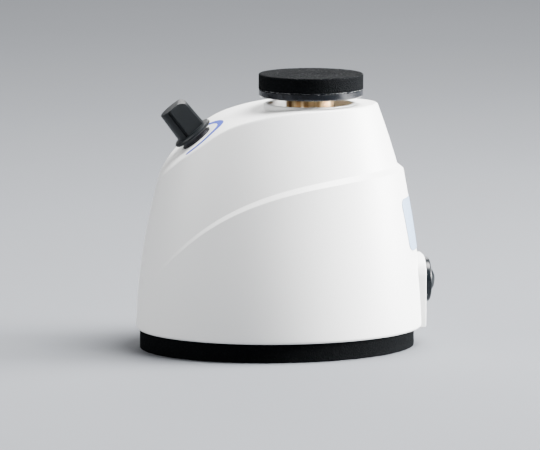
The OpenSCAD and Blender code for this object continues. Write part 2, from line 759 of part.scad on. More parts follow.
module platform_pad() {
    round_r = 0.7;
    color("#151515") translate([orbit, axis_y, pad_z]) rotate_extrude() polygon(concat(
        [[0, 0], [pad_r - 0.25, 0], [pad_r, 0.25]],
        [for (k = [0:4]) [pad_r - round_r + round_r * cos(22.5 * k), pad_t - round_r + round_r * sin(22.5 * k)]],
        [[0, pad_t]]));
}

// ---- Speed control ----

pot_tab = [1.2, 7.5, 0.5];
pot_tab_z = -pot_seat - pot_h + 1;

module pot_body() {
    color("#30343a") at_knob() difference() {
        translate([0, 0, -pot_seat - pot_h]) cylinder(r = pot_r, h = pot_h);
        translate([0, 0, -pot_seat - 2.5]) cylinder(r = bushing_r + fit, h = 4);
        translate([0, 0, -pot_seat - pot_h + 2]) cylinder(r = pot_shaft_r + run_fit, h = pot_h);
        for (x = [-4, 0, 4]) translate([x - pot_tab[0] / 2 - fit, pot_r - 3 - fit, pot_tab_z - fit])
            cube(pot_tab + 2 * [fit, fit, fit]);
    }
}

module pot_bushing() {
    color("goldenrod") at_knob() translate([0, 0, -pot_seat - 2.5])
        ring(bushing_r, pot_shaft_r + run_fit, bushing_top + pot_seat + 2.5);
}

module pot_terminals() {
    color("gold") at_knob() for (x = [-4, 0, 4]) translate([x - pot_tab[0] / 2, pot_r - 3, pot_tab_z])
        cube(pot_tab);
}

module pot_washer() {
    color("#181818") at_knob() ring(washer_r, bushing_r + run_fit, washer_t);
}

module pot_nut() {
    color("#181818") at_knob() translate([0, 0, washer_t]) difference() {
        intersection() {
            cylinder(r = nut_r * 1.06, h = nut_h, $fn = 6);
            cylinder(r1 = nut_r, r2 = nut_r * 0.98, h = nut_h, $fn = 48);
        }
        translate([0, 0, -1]) cylinder(r = bushing_r + run_fit, h = nut_h + 2);
    }
}

module pot_shaft() {
    color("#b8bcc0") at_knob() translate([0, 0, -pot_seat - pot_h + 2.2])
        cylinder(r = pot_shaft_r, h = pot_seat + pot_h - 2.2 + skirt_z + knob_bore_h - 0.3);
}

module speed_knob() {
    top_r = grip_r - 0.35;
    top_round = 0.35;
    crest_r = 2.6;            // rounding of the grip's end on its uphill side
    flat_turn = 18;           // where the grip's flat faces
    flat_x = max(grip_r - 1.25, pot_shaft_r + 0.55);
    flute_turn = flat_turn - acos(flat_x / grip_r) - 1;
    foot = skirt_z + skirt_t;
    top = foot + grip_h;
    color("#141414") at_knob() difference() {
        rotate_extrude() polygon(concat(
            [[0, skirt_z], [skirt_r - 0.3, skirt_z], [skirt_r, skirt_z + 0.3], [skirt_r, foot - 0.45],
             [skirt_r - 0.35, foot - 0.1], [grip_r, foot]],
            [for (k = [0:4]) [top_r - top_round + top_round * cos(22.5 * k),
                top - top_round + top_round * sin(22.5 * k)]],
            [[0, top]]));
        translate([0, 0, skirt_z - 1]) cylinder(r = pot_shaft_r + fit, h = knob_bore_h + 1);
        translate([0, 0, skirt_z - 1]) cylinder(r = grip_r - 0.6, h = 1.6);
        rotate([0, 0, flat_turn]) translate([flat_x, -6, foot + 0.15]) cube([4, 12, grip_h + 2]);
        rotate([0, 0, flute_turn]) translate([grip_r - 0.1, 0, foot + 0.15]) rotate([0, -2, 0])
            cylinder(r = 0.5, h = grip_h + 4, $fn = 24);
        rotate([0, 0, 75]) translate([top_r - crest_r, 0, top - crest_r]) difference() {
            translate([0, -8, 0]) cube([8, 16, 8]);
            rotate([90, 0, 0]) cylinder(r = crest_r, h = 20, center = true);
        }
    }
}

// ---- Switch and inlet ----

module switch_body() {
    color("#161616") at_switch() difference() {
        union() {
            rotate_extrude() polygon(concat([[0, 0], [bezel_r, 0]],
                [for (k = [0:4]) [bezel_r - bezel_edge + bezel_edge * cos(22.5 * k),
                    bezel_t - bezel_edge + bezel_edge * sin(22.5 * k)]],
                [[0, bezel_t]]));
            translate([0, 0, -barrel_depth]) cylinder(r = barrel_r, h = barrel_depth + 0.1);
        }
        translate([0, 0, -7.2]) cylinder(r = rocker_r + 0.15, h = 12);
        translate([0, 0, rocker_y - boss_y]) rotate([0, 90, 0])
            cylinder(r = rocker_pin_r + run_fit, h = 2 * barrel_r - 0.4, center = true);
    }
}

module switch_terminals() {
    color("silver") at_switch() for (x = [-3.4, 3.4]) translate([x - 0.4, -2, -barrel_depth - 5])
        cube([0.8, 4, 5]);
}

module switch_rocker() {
    color("#0e0e0e") translate([0, rocker_y, switch_z]) rotate([-90 - rocker_swing / 2, 0, 0]) difference() {
        union() {
            sphere(r = rocker_r, $fn = 48);
            rotate([0, 90, 0]) cylinder(r = rocker_pin_r, h = 2 * barrel_r - 0.8, center = true);
        }
        translate([-8, -8, -13]) cube([16, 16, 10]);
        translate([0, 0, rocker_r + 13.6]) rotate([0, 90, 0]) cylinder(r = 14, h = 20, center = true, $fn = 96);
    }
}

module dc_inlet() {
    color("#181818") at_inlet() difference() {
        union() {
            translate([0, 0, -inlet_depth]) cylinder(r = inlet_r, h = inlet_depth + 0.1);
            cylinder(r = inlet_flange_r, h = 0.9);
        }
        translate([0, 0, -inlet_depth + 1.5]) cylinder(r = 2.8, h = inlet_depth + 2);
    }
}

module inlet_pin() {
    color("silver") at_inlet() translate([0, 0, -inlet_depth + 1.5]) cylinder(r = 1, h = inlet_depth - 2.5);
}

module inlet_nut() {
    color("silver") at_inlet() translate([0, 0, -5.5 - 1.8])
        difference() {
            cylinder(r = inlet_r + 1.7, h = 1.8, $fn = 6);
            translate([0, 0, -1]) cylinder(r = inlet_r + run_fit, h = 4);
        }
}

// ---- Control board ----

module at_board_corners() {
    translate([0, board_y, 0]) at_corners(board_hole) children();
}

module board_standoffs() {
    color("#c8a850") translate([0, 0, ballast_top]) at_board_corners() ring(standoff_r, 1.05, standoff_h);
}

module board_screws() {
    color("gray") translate([0, 0, board_z + board_t]) at_board_corners()
        mirror([0, 0, 1]) screw([1, 1.9, 1.2], board_t + 4);
}

module control_board() {
    color("darkgreen") difference() {
        translate([-board_w / 2, board_y - board_l / 2, board_z]) cube([board_w, board_l, board_t]);
        translate([0, 0, board_z - 1]) at_board_corners() cylinder(r = 1.05, h = board_t + 2);
    }
}

module board_capacitor() {
    color("#203860") translate([5, board_y, board_z + board_t]) cylinder(r = 4, h = 12);
}

module power_transistor() {
    color("#1c1c1c") translate([-9.2, board_y - 2.2, board_z + board_t]) cube([2.4, 4.4, 10]);
}

module heat_sink() {
    fins = 4;
    color("silver") translate([-6.8, board_y - 5, board_z + board_t]) {
        cube([1.2, 10, 12]);
        for (k = [0:fins - 1]) translate([1.2 - 0.01, k * 3, 0]) cube([4, 1, 12]);
    }
}

// ---- Leads, held inside the housing ----

module motor_leads() {
    start = [5, axis_y - sqrt(can_r * can_r - 25) - lead_r - 0.2, can_z + 4];
    edge = board_y + board_l / 2;
    color("red") for (x = [-1, 1]) lead([[x * start[0], start[1], start[2]],
        [x * 5.5, mix(start[1], edge, 0.45), mix(start[2], board_z - 2.2, 0.4)],
        [x * 6, edge + 1.4, board_z - 2.2], [x * 5.5, edge - 0.6, board_z - 1.8],
        [x * 5, edge - 2, board_z - lead_r - 0.2]]);
}

module switch_leads() {
    low = ballast_top + lead_r + 0.2;
    color("orange") for (x = [-1, 1]) lead([[x * 3.4, boss_y - barrel_depth - 5 - lead_r - 0.2, switch_z],
        [x * 9, boss_y - barrel_depth - 9, switch_z - 1.5], [x * (can_r + 4.3), axis_y + 4.5, low + 2.5],
        [x * (can_r + 4.8), axis_y - 9.5, low + 1], [x * (board_w / 2 + 3.5), board_y + 7, low + 3],
        [x * (board_w / 2 - 2), board_y + 1, board_z - lead_r - 0.2]]);
}

module inlet_leads() {
    inward = (inlet_rise - inlet_depth - lead_r - 0.2) * [-sin(inlet_turn), cos(inlet_turn)];
    start = [inlet_point[0] + inward[0], inlet_point[1] + inward[1]];
    color("black") for (s = [-1, 1]) lead([[start[0], start[1], inlet_z + s * 1.5],
        [start[0] - 2, start[1] - 4, inlet_z + s * 1.5], [-can_r - 6.3, axis_y + 0.5, inlet_z + 2 + s * 1.5],
        [-can_r - 5.8, axis_y - 17.5, inlet_z + 3 + s * 1.5], [-board_w / 2 - 2, board_y + 0.5 + s * 1.5, board_z + 5],
        [1.5 - board_w / 2, board_y + 0.5 + s * 1.5, board_z + board_t + lead_r + 0.2]]);
}

module speed_leads() {
    // The terminals' height and place, from the tilted control
    local = [pot_r + 4.5 + lead_r + 0.2, -pot_seat - pot_h + 1.25];
    start_y = -knob_y + local[0] * cos(ramp_slope) - local[1] * sin(ramp_slope);
    start_z = knob_z + local[0] * sin(ramp_slope) + local[1] * cos(ramp_slope);
    color("yellow") for (x = [-4, 0, 4]) lead([[x, start_y, start_z], [x, start_y + 1.5, start_z - 6],
        [x + 3, start_y - 3, start_z - 16], [x * 0.6 + 4, board_y + board_l / 2 - 2, board_z + 12],
        [x * 0.6 + 4, board_y + board_l / 2 - 2, board_z + board_t + lead_r + 0.2]]);
}

housing();
rear_label();
foot_pad();
base_plate();
base_screws();
ballast_weight();
ballast_screws();
motor_can();
motor_end_bell();
motor_magnets();
motor_brushes();
motor_front_bush();
motor_rear_bush();
motor_bracket();
rubber_mounts();
bracket_screws();
motor_screws();
pot_body();
pot_bushing();
pot_terminals();
pot_washer();
pot_nut();
switch_body();
switch_terminals();
dc_inlet();
inlet_pin();
inlet_nut();
control_board();
board_standoffs();
board_screws();
board_capacitor();
power_transistor();
heat_sink();
motor_leads();
switch_leads();
speed_leads();
inlet_leads();
motor_shaft();
rotor_core();
rotor_windings();
commutator();
eccentric_hub();
hub_set_screw();
bearing_outer_ring();
bearing_balls();
bearing_inner_ring();
platform_stud();
stud_clip();
platform_plate();
platform_pad();
pot_shaft();
speed_knob();
switch_rocker();
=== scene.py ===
"""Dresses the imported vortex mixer: its moulded housing, foam, printing, finishes and studio."""

import contextlib
import json
import math

import bmesh
import bpy
from mathutils import Matrix, Vector
from mathutils.bvhtree import BVHTree

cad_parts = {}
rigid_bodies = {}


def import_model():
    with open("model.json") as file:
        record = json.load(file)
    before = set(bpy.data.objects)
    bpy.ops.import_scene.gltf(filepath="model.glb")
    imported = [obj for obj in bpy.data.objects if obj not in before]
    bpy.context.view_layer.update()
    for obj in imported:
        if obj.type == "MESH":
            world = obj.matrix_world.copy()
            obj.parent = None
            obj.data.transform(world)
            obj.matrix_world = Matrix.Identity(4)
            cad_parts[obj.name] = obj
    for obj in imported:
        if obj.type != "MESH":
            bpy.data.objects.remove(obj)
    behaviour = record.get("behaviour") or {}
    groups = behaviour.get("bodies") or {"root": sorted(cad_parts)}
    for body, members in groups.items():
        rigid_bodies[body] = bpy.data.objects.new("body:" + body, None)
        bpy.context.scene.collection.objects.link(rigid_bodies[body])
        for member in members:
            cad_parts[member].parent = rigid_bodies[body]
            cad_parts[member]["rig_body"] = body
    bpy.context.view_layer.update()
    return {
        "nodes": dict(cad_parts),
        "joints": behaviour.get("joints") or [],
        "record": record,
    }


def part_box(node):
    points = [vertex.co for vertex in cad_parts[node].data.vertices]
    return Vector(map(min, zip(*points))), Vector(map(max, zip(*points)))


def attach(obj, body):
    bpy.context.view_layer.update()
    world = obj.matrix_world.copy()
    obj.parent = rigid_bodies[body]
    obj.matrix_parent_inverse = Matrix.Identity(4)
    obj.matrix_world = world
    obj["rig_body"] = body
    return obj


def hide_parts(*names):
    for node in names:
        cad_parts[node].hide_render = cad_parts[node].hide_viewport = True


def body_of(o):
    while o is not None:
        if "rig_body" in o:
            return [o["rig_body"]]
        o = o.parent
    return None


bl_info = {
    "name": "Vortex Mixer Dressing",
    "version": (1, 0, 0),
    "blender": (4, 5, 0),
    "location": "View3D > Sidebar > Vortex Mixer",
    "description": "Builds the visible shells, foam, printing and finishes of a small vortex mixer",
    "category": "Object",
}

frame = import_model()
MM = 0.001
TURN = 2 * math.pi
MERGE = 1e-6


def place(node):
    """Lowest and highest corner of a CAD node, in millimetres."""
    low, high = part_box(node)
    return Vector(low) / MM, Vector(high) / MM


def joint(name):
    """Position in millimetres and axis of a joint."""
    found = next(j for j in frame["joints"] if j["name"] == name)
    return Vector(found["pos_m"]) / MM, Vector(found["axis"]).normalized()


SHELL_LOW, SHELL_HIGH = place("housing")
KNOB_POINT, KNOB_AXIS = joint("knob_turn")
DRIVE_POINT, _ = joint("drive_spin")
PAD_POINT, _ = joint("platform_spin")


# ---- Nodes written as expressions ----


def adds(operation, swapped=False):
    """A method of Num that adds a Math node; swapped puts the number last."""
    def method(self, *others):
        return self.nodes.math(operation, *((*others, self) if swapped else (self, *others)))
    return method


class Num:
    """A number in a node tree. Arithmetic on it adds Math nodes."""

    __add__ = __radd__ = adds("ADD")
    __sub__, __rsub__ = adds("SUBTRACT"), adds("SUBTRACT", swapped=True)
    __mul__ = __rmul__ = adds("MULTIPLY")
    __truediv__, __rtruediv__ = adds("DIVIDE"), adds("DIVIDE", swapped=True)
    __pow__, __gt__ = adds("POWER"), adds("GREATER_THAN")
    at_least, at_most = adds("MAXIMUM"), adds("MINIMUM")
    sin, cos, tan, exp = adds("SINE"), adds("COSINE"), adds("TANGENT"), adds("EXPONENT")

    def __init__(self, nodes, socket):
        self.nodes = nodes
        self.socket = socket

    def __neg__(self):
        return self * -1.0

    def clamped(self):
        done = self.nodes.math("ADD", self, 0.0)
        done.socket.node.use_clamp = True
        return done

    def root(self):
        return self.nodes.math("SQRT", self.at_least(0.0))

    def smooth(self, low, high):
        """0 below low, 1 above high, with an eased change between."""
        ramp = ((self - low) / (high - low)).clamped()
        return ramp * ramp * (3 - 2 * ramp)


class Nodes:
    """Adds nodes to a tree."""

    def __init__(self, tree):
        self.tree = tree
        self.flow = None

    def feed(self, socket, value):
        if isinstance(value, Num):
            value = value.socket
        if isinstance(value, bpy.types.NodeSocket):
            self.tree.links.new(value, socket)
        else:
            socket.default_value = value

    def add(self, kind, settings=None, inputs=None):
        node = self.tree.nodes.new(kind)
        for name, value in (settings or {}).items():
            setattr(node, name, value)
        for name, value in (inputs or {}).items():
            self.feed(node.inputs[name], value)
        return node

    def math(self, operation, *values):
        node = self.add("ShaderNodeMath", {"operation": operation}, dict(enumerate(values)))
        return Num(self, node.outputs[0])

    def num(self, node, output=0):
        return Num(self, node.outputs[output])

    def split(self, vector):
        node = self.add("ShaderNodeSeparateXYZ", inputs={0: vector})
        return [self.num(node, i) for i in range(3)]

    def keep(self, value):
        """Captures a value on the geometry, so that what follows starts from it."""
        node = self.add("GeometryNodeCaptureAttribute")
        node.capture_items.new("FLOAT", "kept")
        self.feed(node.inputs[0], self.flow)
        self.feed(node.inputs[1], value)
        self.flow = node.outputs[0]
        return self.num(node, 1)

    def between(self, a, b, share):
        """A value between two, by a share from 0 to 1."""
        return self.num(self.add("ShaderNodeMix", inputs={0: share, 2: a, 3: b}))

    def join(self, x, y, z):
        return self.add("ShaderNodeCombineXYZ", inputs={0: x, 1: y, 2: z}).outputs[0]


def mix(a, b, share):
    return share.nodes.between(a, b, share) if isinstance(share, Num) else a + (b - a) * share


# ---- Finishes ----


class Finish(Nodes):
    """A material on a Principled shader, with its place in millimetres as x, y, z."""

    def __init__(self, name, **constants):
        self.material = bpy.data.materials.new(name)
        self.material.use_nodes = True
        super().__init__(self.material.node_tree)
        self.shader = self.tree.nodes["Principled BSDF"]
        self.set(**constants)
        at = self.add("ShaderNodeTexCoord").outputs["Object"]
        scaled = self.add("ShaderNodeVectorMath", {"operation": "SCALE"}, {0: at, "Scale": 1 / MM})
        self.place = scaled.outputs[0]
        self.x, self.y, self.z = self.split(self.place)

    def between(self, a, b, share):
        return a + (b - a) * share

    def noise(self, size, detail=2.0, roughness=0.5, where=None):
        """Noise from 0 to 1 with features of about size millimetres."""
        node = self.add("ShaderNodeTexNoise", inputs={
            "Vector": where or self.place, "Scale": 1 / size, "Detail": detail, "Roughness": roughness})
        return self.num(node)

    def cells(self, size):
        """Distance to the nearest of many points, scattered about size millimetres apart."""
        node = self.add("ShaderNodeTexVoronoi", inputs={"Vector": self.place, "Scale": 1 / size})
        return self.num(node, "Distance")

    def blend(self, share, low, high):
        """A colour between two, by a share from 0 to 1."""
        low, high = ((*colour, 1.0) if isinstance(colour, tuple) else colour for colour in (low, high))
        node = self.add("ShaderNodeMix", {"data_type": "RGBA"}, {0: share, 6: low, 7: high})
        return node.outputs[2]

    def set(self, **links):
        for name, value in links.items():
            self.feed(self.shader.inputs[name.replace("_", " ")], value)

    def bump(self, height, depth):
        """Relief of depth millimetres from a height of 0 to 1, which completes the material."""
        node = self.add("ShaderNodeBump", inputs={"Strength": 1.0, "Distance": depth * MM, "Height": height})
        self.feed(self.shader.inputs["Normal"], node.outputs[0])
        return self.material


def housing_plastic(colour):
    """Satin moulded plastic: fine tool texture, faint mottling."""
    f = Finish("moulded_white", Coat_Weight=0.12, Coat_Roughness=0.32, IOR=1.5)
    fine = f.noise(0.22, 3.0, 0.6)
    broad = f.noise(14.0, 2.0)
    dull = tuple(c * 0.955 for c in colour)
    f.set(Base_Color=f.blend(0.35 * fine + 0.65 * broad, dull, colour), Roughness=0.4 + 0.12 * fine)
    return f.bump(fine, 0.012)


def foam(colour, top):
    """Closed cell foam, cut: open cells with darker pits, and bright specks on every face, much denser on its
    top as a painted sheen.
    """
    f = Finish("foam_black", IOR=1.4, Specular_IOR_Level=0.06)
    cell = f.cells(0.42)
    grain = f.noise(0.5, 4.0, 0.75)
    pits = cell.smooth(0.15, 0.75)
    # Painted sheen: the top gets many more bright specks than the sides, which keep the foam's own sparse
    # specks.
    painted_top_sheen = f.z.smooth(top - 0.5, top - 0.25)
    flecks_and_top_sheen = (grain * (1.15 - cell)).smooth(0.48, 0.66) * (0.08 + 0.92 * painted_top_sheen)
    f.set(Base_Color=f.blend(flecks_and_top_sheen, colour, (0.13, 0.135, 0.14)), Roughness=0.78 + 0.2 * pits)
    return f.bump(0.7 * (1 - pits) + 0.5 * grain, 0.11)


def black_plastic(name, colour, roughness):
    """Moulded black plastic with a fine texture and faint handling marks."""
    f = Finish(name, IOR=1.5, Specular_IOR_Level=0.25)
    fine = f.noise(0.16, 2.0)
    marks = f.noise(2.4, 3.0, 0.65)
    lighter = tuple(c * 1.5 + 0.002 for c in colour)
    f.set(Base_Color=f.blend(marks, colour, lighter), Roughness=roughness + 0.14 * marks + 0.05 * fine)
    return f.bump(fine, 0.008)


def plate_metal(top, axis):
    """Glossy dark grey metal, turned, with a painted highlight along its top corner."""
    f = Finish("plate_dark", Coat_Weight=0.4, Coat_Roughness=0.2, Specular_IOR_Level=0.2)
    radius = ((f.x - axis.x) ** 2.0 + (f.y - axis.y) ** 2.0).root()
    rings = f.noise(0.06, 2.0, 0.5, f.join(radius, f.z, 0.0))
    # Painted highlight: a bright, slightly metallic line round the top corner, broken by noise.
    painted_edge_highlight = (f.z + 0.4 * f.noise(0.9, 3.0)).smooth(top + 0.06, top + 0.12)
    patches = f.noise(5.0, 2.0).smooth(0.45, 0.6)
    dark = f.blend(patches, (0.002, 0.003, 0.005), (0.014, 0.015, 0.018))
    f.set(Base_Color=f.blend(painted_edge_highlight, dark, (0.5, 0.51, 0.52)), Metallic=0.2 + 0.1 * painted_edge_highlight,
          Roughness=0.24 + 0.1 * patches + 0.05 * rings)
    return f.bump(rings, 0.004)


def turned_metal(name, low, high, axis, roughness, painted_reflection=0.0):
    """Metal turned in a lathe: fine grooves along Z and, by the last argument, painted reflections: lighter
    and darker stripes that change round the axis.
    """
    f = Finish(name, Metallic=1.0)
    across, along = f.x - axis.x, f.y - axis.y
    angle = f.math("ARCTAN2", across, along)
    grooves = f.noise(0.05, 2.0, 0.6, f.join(f.z, (across * across + along * along).root(), 0.0))
    # Painted reflection: stripes of lighter and darker colour round the axis.
    painted_reflection_bands = f.noise(0.35, 2.0, 0.6, f.join(angle, 0.0, f.z * 0.01))
    tone_and_reflection = mix(f.noise(1.5, 3.0), painted_reflection_bands.smooth(0.36, 0.64), painted_reflection)
    f.set(Base_Color=f.blend(tone_and_reflection, low, high), Roughness=roughness + 0.12 * (1 - tone_and_reflection) + 0.05 * grooves)
    return f.bump(grooves, 0.006)


def plain_metal(name, low, high, roughness, grain=0.5):
    """Plated or painted metal with a fine grain and faint clouds."""
    f = Finish(name, Metallic=1.0)
    cloud = f.noise(3.0, 3.0, 0.6)
    fine = f.noise(0.12 * grain + 0.04, 2.0)
    f.set(Base_Color=f.blend(cloud, low, high), Roughness=roughness + 0.15 * cloud + 0.05 * fine)
    return f.bump(fine, 0.006)


def matt(name, low, high, roughness, size=1.2, depth=0.01):
    """A non-metal with mottled colour and a fine relief."""
    f = Finish(name)
    cloud = f.noise(size, 3.0, 0.6)
    fine = f.noise(0.18, 2.0)
    f.set(Base_Color=f.blend(cloud, low, high), Roughness=roughness + 0.12 * fine)
    return f.bump(fine, depth)


def label_film(colour, low, high):
    """Pale label film: a fine paper grain and a slightly darker border."""
    f = Finish("label_film", Coat_Weight=0.25, Coat_Roughness=0.2)
    grain = f.noise(0.25, 3.0)
    border = (0.42, 0.7)
    inside = (f.z - low).smooth(*border) * (high - f.z).smooth(*border)
    deep = tuple(c * 0.86 for c in colour)
    f.set(Base_Color=f.blend(0.75 * inside + 0.25 * grain, deep, colour), Roughness=0.38 + 0.1 * grain)
    return f.bump(grain, 0.004)


def printed_ink(colour):
    """Screen printed ink, slightly uneven in its cover."""
    f = Finish("speed_scale_ink", Specular_IOR_Level=0.15)
    cover = f.noise(0.35, 4.0, 0.7)
    pale = tuple(0.9 * c + 0.07 for c in colour)
    f.set(Base_Color=f.blend(cover.smooth(0.55, 0.8), colour, pale), Roughness=0.45 + 0.15 * cover)
    return f.bump(cover, 0.004)


# ---- Mesh helpers ----


def new_object(name, data):
    """An object in the scene."""
    thing = bpy.data.objects.new(name, data)
    bpy.context.scene.collection.objects.link(thing)
    return thing


def mesh_object(name, mesh, material, body, smooth=35.0):
    """A finished piece, at the origin, riding on its body."""
    piece = new_object(name, mesh)
    mesh.materials.clear()
    mesh.materials.append(material)
    mesh.polygons.foreach_set("use_smooth", [True] * len(mesh.polygons))
    mesh.set_sharp_from_angle(angle=math.radians(smooth))
    mesh.update()
    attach(piece, body)
    return piece


def grid_mesh(name, rows, closed=False):
    """A mesh from rows of points of equal length, in millimetres."""
    wide = len(rows[0])
    points = [tuple(Vector(p) * MM) for row in rows for p in row]
    faces = []
    for i in range(len(rows) - 1):
        for k in range(wide if closed else wide - 1):
            n = (k + 1) % wide
            faces.append((i * wide + k, i * wide + n, (i + 1) * wide + n, (i + 1) * wide + k))
    mesh = bpy.data.meshes.new(name)
    mesh.from_pydata(points, [], faces)
    return mesh


def circle(count, closing=0):
    """Sine and cosine of evenly spaced angles."""
    return [(math.sin(TURN * k / count), math.cos(TURN * k / count)) for k in range(count + closing)]


def lathe(name, outline, segments, frame_at):
    """Turns an outline of (radius, height) points about the Z axis of a local frame."""
    rows = [[frame_at @ Vector((r * sin, -r * cos, z)) for sin, cos in circle(segments)] for r, z in outline]
    return tidy(grid_mesh(name, rows, closed=True))


@contextlib.contextmanager
def edited(mesh):
    """Opens a mesh for changes, and writes them back."""
    work = bmesh.new()
    work.from_mesh(mesh)
    yield work
    work.to_mesh(mesh)
    work.free()


def tidy(mesh):
    """Merges doubles, closes holes at poles and turns the faces outwards."""
    with edited(mesh) as work:
        bmesh.ops.remove_doubles(work, verts=work.verts, dist=MERGE)
        bmesh.ops.dissolve_degenerate(work, edges=work.edges, dist=MERGE)
        bmesh.ops.recalc_face_normals(work, faces=work.faces)
    return mesh


def arc(cx, cy, r, start, end, steps):
    """Points of an arc, angles in degrees from the X axis."""
    angles = [math.radians(start + (end - start) * i / steps) for i in range(steps + 1)]
    return [(cx + r * math.cos(a), cy + r * math.sin(a)) for a in angles]


def evaluated(thing, name, *helpers):
    """A plain mesh of what a working object's modifiers make; it and its helpers are removed."""
    bpy.context.view_layer.update()
    graph = bpy.context.evaluated_depsgraph_get()
    mesh = bpy.data.meshes.new_from_object(thing.evaluated_get(graph))
    mesh.name = name
    for used in (thing, *helpers):
        bpy.data.objects.remove(used)
    return mesh


def cut(target, tool, operation="DIFFERENCE"):
    """Adds an exact boolean to an object, and gives the working object it uses."""
    cutter = new_object(tool.name, tool)
    modifier = target.modifiers.new(tool.name, "BOOLEAN")
    modifier.operation = operation
    modifier.solver = "EXACT"
    modifier.object = cutter
    return cutter


def knob_frame():
    """Local axes at the speed control: Z along its axis, Y up the ramp."""
    across = Vector((1, 0, 0))
    turn = Matrix((across, KNOB_AXIS.cross(across), KNOB_AXIS)).transposed().to_4x4()
    return Matrix.Translation(KNOB_POINT) @ turn


def inlet_frame():
    """Local axes at the DC inlet: Z out of the wall, from its flat face."""
    size = HOUSING_INPUTS
    a, b = size["Half length"], size["Half width"]
    sin, cos, up = math.sin(INLET_TURN), math.cos(INLET_TURN), INLET_HEIGHT
    share = (up / size["Body height"]) ** size["Lean power"]
    y = -(a - size["Lean"] * share) * cos
    line = size["Line height"] - size["Line drop"] * math.exp((LINE_START - a - y) / size["Line run"])
    step = size["Line step"] * ((y + a - LINE_START) / (2 * a - LINE_REST)) ** LINE_EASE
    out = step * (up / line) ** SWELL_POWER
    point = Vector(((b + out - size["Side lean"] * share) * sin,
                    -(a + out - size["Lean"] * share) * cos, size["Rim height"] + up))
    facing = Matrix.Rotation(math.atan2(-point.x * a * a, point.y * b * b), 4, "Z")
    return Matrix.Translation(point) @ facing @ Matrix.Translation((0, 1, 0)) @ Z_TO_Y


# ---- The housing's rule, as a Geometry Nodes tree ----

HOUSING_INPUTS = {
    "Half length": 45.0, "Half width": 34.8, "Rim height": 6.1, "Body height": 69.7, "Lean": 14.3,
    "Side lean": 14.4, "Lean power": 1.8, "Wall": 2.4, "Edge radius": 0.7, "Top slope": 1.1,
    "Ramp start": 7.0, "Crown radius": 78.0, "Crown end slope": 16.9, "Knee radius": 29.0,
    "Ramp slope": 38.0, "Straight run": 6.4, "Lower radius": 34.0, "Line height": 50.4,
    "Line drop": 34.0, "Line run": 22.0, "Line step": 1.5, "Line bevel": 1.5, "Axis offset": 9.5,
    "Collar radius": 12.85, "Collar wall": 1.55, "Collar top": 76.25,
}
RAMP_INPUTS = ("Rim height", "Body height", "Top slope", "Ramp start", "Crown radius", "Crown end slope",
               "Knee radius", "Ramp slope", "Straight run", "Lower radius", "Axis offset")
ROWS = {"rim": 5, "lower": 24, "step": 8, "upper": 24, "edge": 10, "top": 26, "lip": 14, "ceiling": 5,
        "inside": 10}
COLUMNS = 400
ROUNDS = 12
# The step at the side line: where it starts, what it leaves out of the length, how it grows
LINE_START, LINE_REST, LINE_EASE, SWELL_POWER = 3.3, 11.6, 0.6, 3.0
# The rounded rim, the lip and the ceiling, which hangs this many walls under the ramp
RIM_BAND, RIM_ROUND = 0.7, 0.45
LIP_ROUND, LIP_COVE, CEILING_DROP = 0.5, 0.12, 1.2

# ---- Fixed sizes, in millimetres ----

PLATE_GAP = 2.4
BEZEL_DEPTH = 2.2
BOSS_HALF, BOSS_HEIGHT, BOSS_DEPTH, BOSS_EDGE = 9.0, 22.0, 5.6, 0.35
POCKET_HALF, POCKET_HEIGHT, POCKET_LOW, POCKET_WALL, POCKET_DEPTH = 6.8, 20.3, 0.5, 2.6, 14
SWITCH_HOLE, KNOB_HOLE, INLET_HOLE, INLET_BOSS = 6.4, 3.6, 4.1, 6.2
INLET_TURN, INLET_HEIGHT = math.radians(215), 18.0
SCREW_HEAD, FOOT_HOLE = 2.75, 4.45
SCALE_TURN, SCALE_DROP = (math.radians(-112), math.radians(97)), 1.9
FOAM_INSET, FOAM_EDGE = 0.05, 0.35
Z_TO_Y = Matrix.Rotation(math.radians(-90), 4, "X")


class RampRule:
    """Height of the ramp: a sloped top, two arcs, a straight part and a lower arc."""

    def __init__(self, size):
        s = size
        slopes = ("Top slope", "Crown end slope", "Ramp slope")
        rise, soft, steep = (s[name] * math.radians(1) for name in slopes)
        self.rise, self.fall = rise.tan(), steep.tan()
        self.start, self.axis = s["Ramp start"], s["Axis offset"]
        self.top = s["Rim height"] + s["Body height"]
        self.arcs = [self.arc(self.start, self.flat(self.start), s["Crown radius"], rise)]
        self.crown_end = self.end(self.arcs[0], soft)
        self.arcs.append(self.arc(*self.crown_end, s["Knee radius"], soft))
        self.knee_end = self.end(self.arcs[1], steep)
        self.low = self.knee_end[0] - s["Straight run"]
        self.arcs.append(self.arc(self.low, self.straight(self.low), s["Lower radius"], steep))

    def arc(self, y, z, radius, slope):
        """Centre and radius of an arc of the ramp that passes a point at a slope."""
        return y + radius * slope.sin(), z - radius * slope.cos(), radius

    def end(self, arc, slope):
        return arc[0] - arc[2] * slope.sin(), arc[1] + arc[2] * slope.cos()

    def flat(self, y):
        return self.top + (y - self.axis) * self.rise

    def straight(self, y):
        return self.knee_end[1] - (self.knee_end[0] - y) * self.fall

    def height(self, y):
        crown, knee, lower = (z + (r * r - (y - at) * (y - at)).root() for at, z, r in self.arcs)
        height = mix(lower, self.straight(y), y > self.low)
        height = mix(height, knee, y > self.knee_end[0])
        height = mix(height, crown, y > self.crown_end[0])
        return mix(height, self.flat(y), y > self.start)


def add_socket(tree, name, kind="Float", side="INPUT"):
    """A named socket of a tree."""
    return tree.interface.new_socket(name, in_out=side, socket_type="NodeSocket" + kind)


def ramp_tree():
    """A node group that gives the ramp's height over a place along the housing."""
    tree = bpy.data.node_groups.new("ramp_height", "GeometryNodeTree")
    for name in ("Place", *RAMP_INPUTS):
        add_socket(tree, name)
    add_socket(tree, "Height", side="OUTPUT")
    nodes = Nodes(tree)
    given = nodes.add("NodeGroupInput")
    rule = RampRule({name: nodes.num(given, name) for name in RAMP_INPUTS})
    nodes.add("NodeGroupOutput", inputs={"Height": rule.height(nodes.num(given, "Place"))})
    return tree


